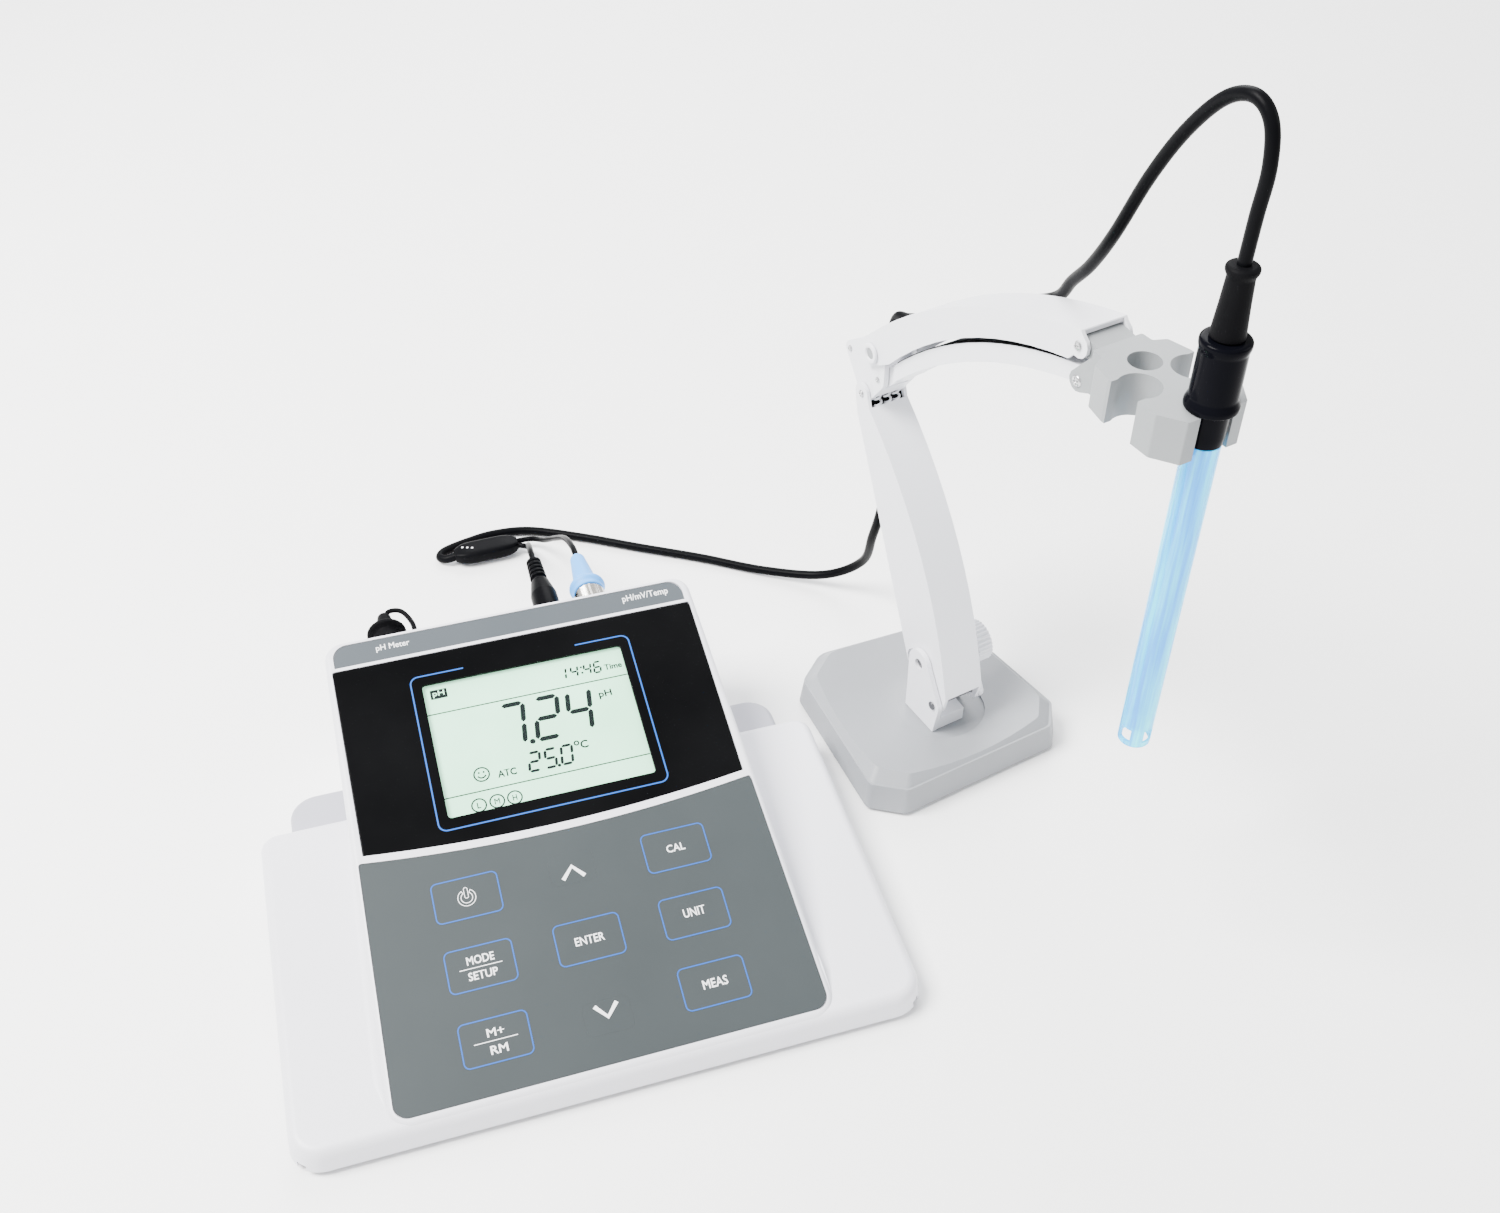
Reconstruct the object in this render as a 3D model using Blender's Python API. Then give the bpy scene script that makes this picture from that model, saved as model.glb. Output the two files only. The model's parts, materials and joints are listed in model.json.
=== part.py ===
"""Benchtop pH meter with its electrode arm stand, combination electrode and cable.

Metres, +Z up, the bench is z = 0.  Sizes are given from the meter's centre line, x = 0, and from the
line where the display's lower edge crosses the sloped face, y = 0.  The whole group is then moved so
that the origin is the middle of its footprint.  The stand has its own frame, on its swivel axis.
"""

import math

import bmesh
import bpy
from mathutils import Vector
from mathutils.geometry import convex_hull_2d

# Meter case
SLOPE = math.radians(15.7)
FACE_HEIGHT = 0.0433
FACE_BACK, FACE_FRONT = 0.0940, -0.1150
SLAB_HALF_BACK, SLAB_HALF_FRONT = 0.0807, 0.0852
SLAB_FRONT_Y, SLAB_BACK_Y = -0.1125, 0.0905
WING_HALF, WING_FRONT_Y, WING_BACK_Y = 0.1205, -0.1140, 0.0350
WING_FRONT_Z, WING_BACK_Z = 0.0118, 0.0210
DECK_HALF, DECK_BACK_Y, DECK_TOP_Z = 0.1080, 0.0570, 0.0150
WALL, ROOF = 0.0028, 0.0050
CASE_BOTTOM = 0.0015
GAP = 0.0003
PLATE_TOP = 0.0040
SCREW_SPOTS = ((-0.070, -0.060), (0.070, -0.060), (-0.070, 0.072), (0.070, 0.072))
FOOT_SPOTS = ((-0.100, -0.095), (0.100, -0.095), (-0.059, 0.078), (0.059, 0.078))
FOOT_RADIUS, FOOT_TOP = 0.0070, 0.0021

# Front panel, along the slope from the display's lower edge
LCD_HALF, LCD_HEIGHT = 0.0427, 0.0634
WINDOW_HALF, WINDOW_TOP = 0.0776, 0.0781
WINDOW_CORNER_V, WINDOW_MIDDLE_V = -0.0077, -0.0125
STRIP_HALF, STRIP_BOTTOM, STRIP_TOP = 0.0762, 0.0802, 0.0905
PAD_HALF_TOP, PAD_HALF_BOTTOM = 0.0799, 0.0818
PAD_CORNER_V, PAD_MIDDLE_V, PAD_BOTTOM = -0.0112, -0.0163, -0.1124
KEY_WIDTH, KEY_HEIGHT, KEY_RADIUS = 0.0264, 0.0175, 0.0026
ARROW_WIDTH, ARROW_HEIGHT = 0.0180, 0.0130
KEY_COLUMN, KEY_ROWS = 0.0419, (-0.0350, -0.0636, -0.0925)
KEYS = (
    ("key_power", -KEY_COLUMN, KEY_ROWS[0], False),
    ("key_mode", -KEY_COLUMN, KEY_ROWS[1], False),
    ("key_memory", -KEY_COLUMN, KEY_ROWS[2], False),
    ("key_up", 0.0, -0.0330, True),
    ("key_enter", 0.0, KEY_ROWS[1], False),
    ("key_down", 0.0, -0.0946, True),
    ("key_cal", KEY_COLUMN, KEY_ROWS[0], False),
    ("key_unit", KEY_COLUMN, KEY_ROWS[1], False),
    ("key_meas", KEY_COLUMN, KEY_ROWS[2], False),
)

# Middle of the whole group's footprint
MIDDLE_X, MIDDLE_Y = 0.05644, 0.05807

# Sockets in the back wall
SOCKET_Z = 0.0545
BNC_X, TEMPERATURE_X, COVERED_X = 0.0385, 0.0185, -0.0530
POWER_X, POWER_Z = -0.0400, 0.0162
BACK_WALL = SLAB_BACK_Y
BNC_PLUG_END_Y, TEMPERATURE_PLUG_END_Y = 0.1322, 0.1350

# Stand, in its own frame: x across the arm, y backwards, z up
STAND_X, STAND_Y, STAND_TURN = 0.1830, 0.0280, math.radians(13.0)
BASE_LEFT, BASE_RIGHT, BASE_FRONT, BASE_BACK = -0.0572, 0.0460, -0.0380, 0.0580
BASE_WALL_TOP, BASE_RIM_TOP, BASE_FLOOR = 0.0145, 0.0190, 0.0120
PEDESTAL_BOTTOM = 0.0123
CHEEK_OUTER, CHEEK_INNER = 0.0124, 0.0102
BAR_HALF, BAR_INNER = 0.0098, 0.0083
ELBOW_HALF, ELBOW_INNER = 0.0080, 0.0056
LINK_HALF, UNDER_HALF = 0.0052, 0.0076
PIN_RADIUS, PIN_HOLE = 0.0012, 0.0015
BOLT_RADIUS, BOLT_HOLE = 0.0024, 0.0027
KNOB_RADIUS, KNOB_RIBS = 0.0094, 16
# Pivots of the two linked pairs of bars, as (y, z): each pair is a parallelogram
FRONT_PIVOT = Vector((-0.0090, 0.0275))
ELBOW_PIVOT = Vector((0.0625, 0.1505))
REAR_OFFSET = Vector((0.0125, 0.0150))
REAR_PIVOT = FRONT_PIVOT + REAR_OFFSET
ELBOW_REAR_PIVOT = ELBOW_PIVOT + REAR_OFFSET
UPPER_PIVOT = Vector((0.0565, 0.1736))
HOLDER_PIVOT = Vector((-0.0614, 0.2395))
UNDER_OFFSET = Vector((-0.0027, -0.0120))
UNDER_PIVOT = UPPER_PIVOT + UNDER_OFFSET
HOLDER_UNDER_PIVOT = HOLDER_PIVOT + UNDER_OFFSET
LOWER_BULGE, UPPER_BULGE = 0.0110, 0.0095
HOLDER_TOP, HOLDER_BOTTOM = 0.2420, 0.2260
ELECTRODE_Y = -0.1130
SLOT_RADIUS, HOLE_RADIUS, NOTCH_RADIUS = 0.0072, 0.0058, 0.0074
HOLE_Y, NOTCH_X, NOTCH_Y = -0.0825, 0.0112, -0.0930
TUBE_RADIUS, TUBE_TOP, TUBE_TIP = 0.0060, 0.2290, 0.0950
CABLE_RADIUS, LEAD_RADIUS = 0.0022, 0.0014

ARM_PLANE = (math.radians(90), 0.0, math.radians(90))


def mm(*values):
    return tuple(value * 0.001 for value in values)


def clear_scene():
    for obj in list(bpy.data.objects):
        bpy.data.objects.remove(obj, do_unlink=True)


def collection_named(name):
    made = bpy.data.collections.new(name)
    bpy.context.scene.collection.children.link(made)
    return made


clear_scene()
METER = collection_named("ph_meter")
CUTTERS = collection_named("cutters")
CUTTERS.hide_render = True
GROUP = bpy.data.objects.new("group_middle", None)
GROUP.location = (-MIDDLE_X, -MIDDLE_Y, 0.0)
METER.objects.link(GROUP)


def material(name, colour, roughness, metallic=0.0, alpha=1.0):
    made = bpy.data.materials.new(name)
    made.use_nodes = True
    shader = made.node_tree.nodes["Principled BSDF"]
    shader.inputs["Base Color"].default_value = (*colour, 1.0)
    shader.inputs["Roughness"].default_value = roughness
    shader.inputs["Metallic"].default_value = metallic
    shader.inputs["Alpha"].default_value = alpha
    made.diffuse_color = (*colour, alpha)
    return made


def empty(name, location, rotation=(0.0, 0.0, 0.0), parent=None):
    made = bpy.data.objects.new(name, None)
    METER.objects.link(made)
    made.location = location
    made.rotation_euler = rotation
    made.parent = parent or GROUP
    return made


def add(obj, finish=None, location=(0.0, 0.0, 0.0), rotation=(0.0, 0.0, 0.0), parent=None, cutter=False):
    """Puts an object in its collection, at a place in its parent's frame."""
    (CUTTERS if cutter else METER).objects.link(obj)
    obj.location = location
    obj.rotation_euler = rotation
    obj.parent = parent or GROUP
    if finish:
        obj.data.materials.append(finish)
    if cutter:
        obj.hide_render = True
        obj.display_type = "WIRE"
    return obj


def mesh_object(name, shape):
    """A mesh object from a bmesh, with outward normals and smooth faces between its sharp edges."""
    bmesh.ops.recalc_face_normals(shape, faces=shape.faces)
    data = bpy.data.meshes.new(name)
    shape.to_mesh(data)
    shape.free()
    data.shade_smooth()
    data.set_sharp_from_angle(angle=math.radians(35))
    return bpy.data.objects.new(name, data)


def mesh_from_curve(name, curve):
    """The closed mesh that a filled or bevelled curve makes."""
    helper = bpy.data.objects.new(name + "_curve", curve)
    bpy.context.scene.collection.objects.link(helper)
    data = bpy.data.meshes.new_from_object(helper.evaluated_get(bpy.context.evaluated_depsgraph_get()))
    bpy.data.objects.remove(helper, do_unlink=True)
    shape = bmesh.new()
    shape.from_mesh(data)
    bpy.data.meshes.remove(data)
    bmesh.ops.remove_doubles(shape, verts=shape.verts, dist=1e-6)
    return shape


def plate(name, loops, bottom, top):
    """A flat plate of the given outline, with any further loops as holes, between two heights."""
    curve = bpy.data.curves.new(name, "CURVE")
    curve.dimensions = "2D"
    curve.fill_mode = "BOTH"
    curve.extrude = (top - bottom) / 2
    for loop in loops:
        spline = curve.splines.new("POLY")
        spline.points.add(len(loop) - 1)
        for point, (x, y) in zip(spline.points, loop):
            point.co = (x, y, 0.0, 1.0)
        spline.use_cyclic_u = True
    shape = mesh_from_curve(name, curve)
    bmesh.ops.translate(shape, verts=shape.verts, vec=(0.0, 0.0, (top + bottom) / 2))
    return mesh_object(name, shape)


def bar(name, outline, pivot, low, high):
    """A plate drawn in the arm's plane as (y, z) about a pivot, from x = low to x = high."""
    return plate(name, [[(y - pivot.x, z - pivot.y) for y, z in outline]], low, high)


def box(name, size, centre):
    shape = bmesh.new()
    bmesh.ops.create_cube(shape, size=1.0)
    bmesh.ops.scale(shape, vec=size, verts=shape.verts)
    bmesh.ops.translate(shape, vec=centre, verts=shape.verts)
    return mesh_object(name, shape)


def rod(name, radius, low, high, segments=16):
    """A cylinder on its own z axis, between two heights."""
    shape = bmesh.new()
    bmesh.ops.create_cone(
        shape, cap_ends=True, segments=segments, radius1=radius, radius2=radius, depth=high - low
    )
    bmesh.ops.translate(shape, vec=(0.0, 0.0, (low + high) / 2), verts=shape.verts)
    return mesh_object(name, shape)


def turned(name, profile, segments=18):
    """A solid of revolution about z: the profile holds (radius, height) from its top to its bottom."""
    shape = bmesh.new()
    points = [shape.verts.new((radius, 0.0, height)) for radius, height in profile]
    edges = [shape.edges.new(pair) for pair in zip(points, points[1:])]
    bmesh.ops.spin(
        shape,
        geom=points + edges,
        cent=(0.0, 0.0, 0.0),
        axis=(0.0, 0.0, 1.0),
        angle=math.tau,
        steps=segments,
        use_merge=True,
    )
    bmesh.ops.remove_doubles(shape, verts=shape.verts, dist=1e-6)
    return mesh_object(name, shape)


def tube(name, path, radius, resolution=1):
    """A round cable along a path of points."""
    curve = bpy.data.curves.new(name, "CURVE")
    curve.dimensions = "3D"
    curve.bevel_depth = radius
    curve.bevel_resolution = resolution
    curve.use_fill_caps = True
    spline = curve.splines.new("POLY")
    spline.points.add(len(path) - 1)
    for point, place in zip(spline.points, path):
        point.co = (*place, 1.0)
    return mesh_object(name, mesh_from_curve(name, curve))


def smooth_path(knots, steps):
    """Points on a smooth curve that passes through every knot."""
    knots = [Vector(knot) for knot in knots]
    knots = [2 * knots[0] - knots[1], *knots, 2 * knots[-1] - knots[-2]]
    path = []
    for before, start, end, after in zip(knots, knots[1:], knots[2:], knots[3:]):
        for step in range(steps):
            t = step / steps
            path.append(
                0.5
                * (
                    2 * start
                    + (end - before) * t
                    + (2 * before - 5 * start + 4 * end - after) * t**2
                    + (3 * start - before - 3 * end + after) * t**3
                )
            )
    path.append(knots[-2])
    return path


def arc(centre, radius, start, end, steps):
    """Points from one angle to another, in degrees, round a centre."""
    angles = [math.radians(start + (end - start) * step / steps) for step in range(steps + 1)]
    return [(centre[0] + radius * math.cos(a), centre[1] + radius * math.sin(a)) for a in angles]


def rounded(corners, radii, steps=4):
    """A polygon with each corner rounded to its radius."""
    outline = []
    for index, corner in enumerate(corners):
        here = Vector(corner)
        before = (Vector(corners[index - 1]) - here).normalized()
        after = (Vector(corners[(index + 1) % len(corners)]) - here).normalized()
        half = before.angle(after) / 2
        reach = radii[index] / math.tan(half)
        centre = here + (before + after).normalized() * radii[index] / math.sin(half)
        first = here + before * reach - centre
        turn = first.angle_signed(here + after * reach - centre)
        for step in range(steps + 1):
            swing = -turn * step / steps
            point = centre + Vector(
                (
                    first.x * math.cos(swing) - first.y * math.sin(swing),
                    first.x * math.sin(swing) + first.y * math.cos(swing),
                )
            )
            outline.append((point.x, point.y))
    return outline


def rounded_box(width, height, radius, centre=(0.0, 0.0), steps=4):
    x, y = width / 2, height / 2
    corners = [(-x, -y), (x, -y), (x, y), (-x, y)]
    return rounded([(centre[0] + u, centre[1] + v) for u, v in corners], [radius] * 4, steps)


def around(circles, steps=12):
    """The outline of a band stretched round circles given as (centre, radius)."""
    points = []
    for centre, radius in circles:
        points += arc(centre, radius, 0, 360 * (steps - 1) / steps, steps - 1)
    return [points[index] for index in convex_hull_2d(points)]


def bowed(start, end, bulge, steps):
    """Points on a shallow arch from start to end, bulging to the left of that direction."""
    start, end = Vector(start), Vector(end)
    along = end - start
    side = Vector((-along.y, along.x)).normalized()
    points = []
    for step in range(steps + 1):
        t = step / steps
        point = start + along * t + side * bulge * 4 * t * (1 - t)
        points.append((point.x, point.y))
    return points


def boolean(obj, other, operation):
    modifier = obj.modifiers.new(other.name, "BOOLEAN")
    modifier.operation = operation
    modifier.solver = "EXACT"
    modifier.object = other


def cut(obj, *cutters):
    for cutter in cutters:
        boolean(obj, cutter, "DIFFERENCE")


def join(obj, *others):
    for other in others:
        boolean(obj, other, "UNION")


def face_z(y):
    """Height of the sloped face above a point of the bench."""
    return FACE_HEIGHT + y * math.tan(SLOPE)


def wing_z(y):
    share = (y - WING_FRONT_Y) / (WING_BACK_Y - WING_FRONT_Y)
    return WING_FRONT_Z + share * (WING_BACK_Z - WING_FRONT_Z)


def wedge(name, outline, bottom, top_of, drop=0.0):
    """A prism with a level bottom whose top follows a slope."""
    obj = plate(name, [outline], bottom, 0.1)
    for vertex in obj.data.vertices:
        if vertex.co.z > 0.05:
            vertex.co.z = top_of(vertex.co.y) - drop
    return obj


WHITE_CASE = material("white_case", (0.80, 0.80, 0.84), 0.45)
GREY_CASE = material("grey_case", (0.60, 0.60, 0.66), 0.50)
BLACK_GLOSS = material("black_gloss", (0.010, 0.011, 0.013), 0.08)
GREY_FILM = material("grey_film", (0.16, 0.185, 0.20), 0.42)
STRIP_GREY = material("strip_grey", (0.30, 0.32, 0.35), 0.42)
LCD_GREEN = material("lcd_green", (0.62, 0.76, 0.67), 0.25)
LIGHT_GUIDE = material("light_guide", (0.85, 0.88, 0.85), 0.40)
BOARD_GREEN = material("board_green", (0.02, 0.16, 0.07), 0.45)
RUBBER = material("rubber", (0.025, 0.025, 0.028), 0.65)
STEEL = material("steel", (0.62, 0.62, 0.63), 0.25, 1.0)
NICKEL = material("nickel", (0.70, 0.69, 0.66), 0.22, 1.0)
PALE_BLUE = material("pale_blue", (0.28, 0.55, 0.86), 0.45)
CABLE_BLACK = material("cable_black", (0.012, 0.012, 0.014), 0.40)
BAR_WHITE = material("bar_white", (0.84, 0.84, 0.87), 0.38)
HOLDER_GREY = material("holder_grey", (0.58, 0.60, 0.62), 0.45)
BASE_GREY = material("base_grey", (0.52, 0.54, 0.57), 0.48)
CAP_BLACK = material("cap_black", (0.010, 0.010, 0.014), 0.12)
CLEAR_BLUE = material("clear_blue", (0.10, 0.50, 0.95), 0.08, alpha=0.5)
GLASS = material("glass", (0.85, 0.95, 1.00), 0.03, alpha=0.35)

PANEL = empty("panel_frame", (0.0, 0.0, FACE_HEIGHT), (SLOPE, 0.0, 0.0))
STAND = empty("stand_frame", (STAND_X, STAND_Y, 0.0), (0.0, 0.0, STAND_TURN))


# ---------------------------------------------------------------- meter case


def slab_outline(inset=0.0):
    front, back = SLAB_HALF_FRONT - inset, SLAB_HALF_BACK - inset
    low, high = SLAB_FRONT_Y + inset, SLAB_BACK_Y - inset
    corners = [(-front, low), (front, low), (back, high), (-back, high)]
    return rounded(corners, [0.009 - inset, 0.009 - inset, 0.008 - inset, 0.008 - inset])


def wing_outline(inset=0.0):
    half, low, high = WING_HALF - inset, WING_FRONT_Y + inset, WING_BACK_Y - inset
    corners = [(-half, low), (half, low), (half, high), (-half, high)]
    return rounded(corners, [0.012 - inset, 0.012 - inset, 0.007 - inset, 0.007 - inset])


def deck_outline(inset=0.0):
    half, high = DECK_HALF - inset, DECK_BACK_Y - inset
    corners = [(-half, inset), (half, inset), (half, high), (-half, high)]
    return rounded(corners, [0.003, 0.003, 0.012 - inset, 0.012 - inset])


def window_outline(grow=0.0):
    bottom = bowed(
        (-WINDOW_HALF - grow, WINDOW_CORNER_V - grow),
        (WINDOW_HALF + grow, WINDOW_CORNER_V - grow),
        WINDOW_MIDDLE_V - WINDOW_CORNER_V,
        12,
    )
    top = WINDOW_TOP + grow
    right = arc((WINDOW_HALF + grow - 0.002, top - 0.002), 0.002, 0, 90, 3)
    left = arc((-WINDOW_HALF - grow + 0.002, top - 0.002), 0.002, 90, 180, 3)
    return bottom + right + left


def pad_outline(grow=0.0):
    low, half = PAD_BOTTOM - grow, PAD_HALF_BOTTOM + grow
    left = arc((-half + 0.005, low + 0.005), 0.005, 180, 270, 4)
    right = arc((half - 0.005, low + 0.005), 0.005, 270, 360, 4)
    top = bowed(
        (PAD_HALF_TOP + grow, PAD_CORNER_V + grow),
        (-PAD_HALF_TOP - grow, PAD_CORNER_V + grow),
        PAD_CORNER_V - PAD_MIDDLE_V,
        12,
    )
    return left + right + top


def key_outline(x, v, arrow, grow=0.0):
    width, height = (ARROW_WIDTH, ARROW_HEIGHT) if arrow else (KEY_WIDTH, KEY_HEIGHT)
    return rounded_box(width + 2 * grow, height + 2 * grow, KEY_RADIUS + grow, (x, v), 3)


def upper_case():
    case = add(wedge("upper_case", slab_outline(), -0.004, face_z), WHITE_CASE)
    wings = add(wedge("wing_block", wing_outline(), -0.005, wing_z), cutter=True)
    deck = add(plate("deck_block", [deck_outline()], -0.006, DECK_TOP_Z), cutter=True)
    join(case, wings, deck)
    hollow = add(wedge("slab_hollow", slab_outline(WALL), -0.010, face_z, ROOF), cutter=True)
    wing_hollow = add(wedge("wing_hollow", wing_outline(WALL), -0.011, wing_z, WALL), cutter=True)
    deck_hollow = add(
        plate("deck_hollow", [deck_outline(WALL)], -0.012, DECK_TOP_Z - WALL), cutter=True
    )
    cut(case, hollow, wing_hollow, deck_hollow)
    for number, (x, y) in enumerate(SCREW_SPOTS):
        top = face_z(y) - ROOF / 2
        post = add(rod(f"post_{number}", 0.0040, 0.0084, top, 16), location=(x, y, 0.0), cutter=True)
        pilot = add(rod(f"pilot_{number}", 0.0016, 0.0, 0.0190, 12), location=(x, y, 0.0), cutter=True)
        join(case, post)
        cut(case, pilot)
    underside = add(box("underside", (0.3, 0.3, 0.05), (0.0, 0.0, CASE_BOTTOM - 0.025)), cutter=True)
    window = add(plate("window_recess", [window_outline(GAP)], -0.0024, 0.003), parent=PANEL, cutter=True)
    pad = add(plate("pad_recess", [pad_outline(GAP)], -0.0020, 0.003), parent=PANEL, cutter=True)
    strip = add(plate("strip_recess", [strip_outline(GAP)], -0.0012, 0.003), parent=PANEL, cutter=True)
    opening = add(
        plate("lcd_opening", [lcd_outline(0.0013)], -0.012, 0.002), parent=PANEL, cutter=True
    )
    cut(case, underside, window, pad, strip, opening)
    for name, x, radius in (
        ("bnc_hole", BNC_X, 0.0063),
        ("temperature_hole", TEMPERATURE_X, 0.0050),
        ("covered_hole", COVERED_X, 0.0050),
        ("power_hole", POWER_X, 0.0042),
    ):
        height = POWER_Z if x == POWER_X else SOCKET_Z
        hole = add(
            rod(name, radius, -0.010, 0.010, 20),
            location=(x, BACK_WALL, height),
            rotation=(math.radians(90), 0.0, 0.0),
            cutter=True,
        )
        cut(case, hole)


def bottom_plate():
    inset = WALL + GAP
    wing, deck, slab = WING_HALF - inset, DECK_HALF - inset, SLAB_HALF_BACK - inset
    half = [
        (wing, WING_FRONT_Y + inset),
        (wing, WING_BACK_Y - inset),
        (deck, WING_BACK_Y - inset),
        (deck, DECK_BACK_Y - inset),
        (slab, DECK_BACK_Y - inset),
        (slab, SLAB_BACK_Y - inset),
    ]
    radii = [0.0088, 0.0040, 0.0003, 0.0088, 0.0003, 0.0048]
    corners = half + [(-x, y) for x, y in reversed(half)]
    outline = rounded(corners, radii + radii[::-1], 3)
    bottom = add(plate("bottom_plate", [outline], CASE_BOTTOM, PLATE_TOP), GREY_CASE)
    for number, (x, y) in enumerate(SCREW_SPOTS):
        boss = add(rod(f"boss_{number}", 0.0046, 0.0030, 0.0080, 16), location=(x, y, 0.0), cutter=True)
        well = add(rod(f"well_{number}", 0.0031, 0.0, 0.0036, 16), location=(x, y, 0.0), cutter=True)
        shaft = add(rod(f"shaft_{number}", 0.0016, 0.0, 0.0100, 12), location=(x, y, 0.0), cutter=True)
        join(bottom, boss)
        cut(bottom, well, shaft)
    for number, (x, y) in enumerate(FOOT_SPOTS):
        seat = add(
            rod(f"foot_seat_{number}", FOOT_RADIUS + 0.0004, 0.0, FOOT_TOP + GAP),
            location=(x, y, 0.0),
            cutter=True,
        )
        cut(bottom, seat)


def feet_and_screws():
    for number, (x, y) in enumerate(FOOT_SPOTS):
        profile = [(0.0, FOOT_TOP), (FOOT_RADIUS, FOOT_TOP), (FOOT_RADIUS, 0.0006)]
        profile += [(FOOT_RADIUS - 0.0006, 0.0), (0.0, 0.0)]
        add(turned(f"rubber_foot_{number + 1}", profile, 20), RUBBER, location=(x, y, 0.0))
    for number, (x, y) in enumerate(SCREW_SPOTS):
        profile = [(0.0, 0.0170), (0.0009, 0.0170), (0.0012, 0.0158), (0.0012, 0.0033)]
        profile += [(0.0027, 0.0033), (0.0027, 0.0019), (0.0022, 0.0016), (0.0, 0.0016)]
        add(turned(f"case_screw_{number + 1}", profile, 12), STEEL, location=(x, y, 0.0))


# --------------------------------------------------------------- front panel


def strip_outline(grow=0.0):
    centre = (0.0, (STRIP_TOP + STRIP_BOTTOM) / 2)
    size = (2 * STRIP_HALF + 2 * grow, STRIP_TOP - STRIP_BOTTOM + 2 * grow)
    x, y = size[0] / 2, size[1] / 2
    corners = [(-x, -y), (x, -y), (x, y), (-x, y)]
    return rounded([(u, centre[1] + v) for u, v in corners], [0.0006, 0.0006, 0.0060, 0.0060])


def lcd_outline(grow=0.0):
    return rounded_box(
        2 * LCD_HALF + 2 * grow, LCD_HEIGHT + 2 * grow, 0.0015, (0.0, LCD_HEIGHT / 2), 2
    )


def front_panel():
    add(plate("header_strip", [strip_outline()], -0.0009, -0.0003), STRIP_GREY, parent=PANEL)
    add(plate("display_window", [window_outline()], -0.0020, -0.0002), BLACK_GLOSS, parent=PANEL)
    holes = [key_outline(x, v, arrow, GAP) for _, x, v, arrow in KEYS]
    overlay = plate("keypad_overlay", [pad_outline(), *holes], -0.0013, -0.0003)
    add(overlay, GREY_FILM, parent=PANEL)
    for name, x, v, arrow in KEYS:
        pad = plate(name, [key_outline(0.0, 0.0, arrow)], -0.0013, -0.0001)
        add(pad, GREY_FILM, location=(x, v, 0.0), parent=PANEL)
    add(plate("lcd_glass", [lcd_outline(0.0009)], -0.0046, -0.0026), LCD_GREEN, parent=PANEL)
    add(plate("backlight", [lcd_outline(0.0040)], -0.0090, -0.0056), LIGHT_GUIDE, parent=PANEL)


def main_board():
    board = add(
        plate("main_board", [rounded_box(0.118, 0.107, 0.002, (0.0, 0.0315), 2)], 0.0088, 0.0104),
        BOARD_GREEN,
    )
    chip = add(box("chip", (0.016, 0.016, 0.0030), (0.010, 0.020, 0.0115)), cutter=True)
    shield = add(box("input_shield", (0.030, 0.022, 0.0070), (0.036, 0.046, 0.0135)), cutter=True)
    join(board, chip, shield)
    jack_y = BACK_WALL - WALL - 0.0070
    jack = add(box("power_jack", (0.0092, 0.0140, 0.0115), (POWER_X, jack_y, 0.0158)), cutter=True)
    barrel = add(
        rod("power_barrel", 0.0031, -0.0120, 0.0120, 16),
        location=(POWER_X, BACK_WALL, POWER_Z),
        rotation=(math.radians(90), 0.0, 0.0),
        cutter=True,
    )
    centre_pin = add(
        rod("power_pin", 0.0010, 0.0045, 0.0130, 10),
        location=(POWER_X, BACK_WALL, POWER_Z),
        rotation=(math.radians(90), 0.0, 0.0),
        cutter=True,
    )
    join(board, jack)
    cut(board, barrel)
    join(board, centre_pin)


# ------------------------------------------------------- sockets and plugs


def facing_back(obj, finish, x, cutter=False):
    """Places a piece, drawn with z as its distance behind the back wall, at a socket."""
    place = (x, BACK_WALL, SOCKET_Z)
    return add(obj, finish, location=place, rotation=(math.radians(-90), 0.0, 0.0), cutter=cutter)


def sockets():
    bnc = [(0.0, 0.0105), (0.0046, 0.0105), (0.0046, 0.0026), (0.0078, 0.0026), (0.0078, 0.0004)]
    bnc += [(0.0059, 0.0004), (0.0059, -0.0085), (0.0, -0.0085)]
    facing_back(turned("bnc_socket", bnc), NICKEL, BNC_X)
    temperature = [(0.0, 0.0060), (0.0036, 0.0060), (0.0036, 0.0024), (0.0060, 0.0024)]
    temperature += [(0.0060, 0.0004), (0.0046, 0.0004), (0.0046, -0.0080), (0.0, -0.0080)]
    facing_back(turned("temperature_socket", temperature, 14), NICKEL, TEMPERATURE_X)
    covered = [(0.0, 0.0110), (0.0042, 0.0110), (0.0042, 0.0024), (0.0060, 0.0024)]
    covered += [(0.0060, 0.0004), (0.0046, 0.0004), (0.0046, -0.0080), (0.0, -0.0080)]
    facing_back(turned("covered_socket", covered, 14), NICKEL, COVERED_X)


def dust_cap():
    profile = [(0.0, 0.0270), (0.0018, 0.0270), (0.0028, 0.0258), (0.0040, 0.0200), (0.0050, 0.0172)]
    profile += [(0.0086, 0.0148), (0.0086, 0.0132), (0.0058, 0.0124), (0.0058, 0.0030)]
    profile += [(0.0047, 0.0030), (0.0047, 0.0118), (0.0, 0.0118)]
    cap = facing_back(turned("dust_cap", profile, 16), RUBBER, COVERED_X)
    knots = [mm(0.2, 0, 24), mm(2.5, -1.2, 27.8), mm(8.0, -1.5, 26), mm(12, 0, 18), mm(12.6, 2, 8)]
    strap = add(
        tube("strap", smooth_path(knots, 3), 0.0013, 1),
        location=cap.location,
        rotation=cap.rotation_euler,
        cutter=True,
    )
    join(cap, strap)


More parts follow.
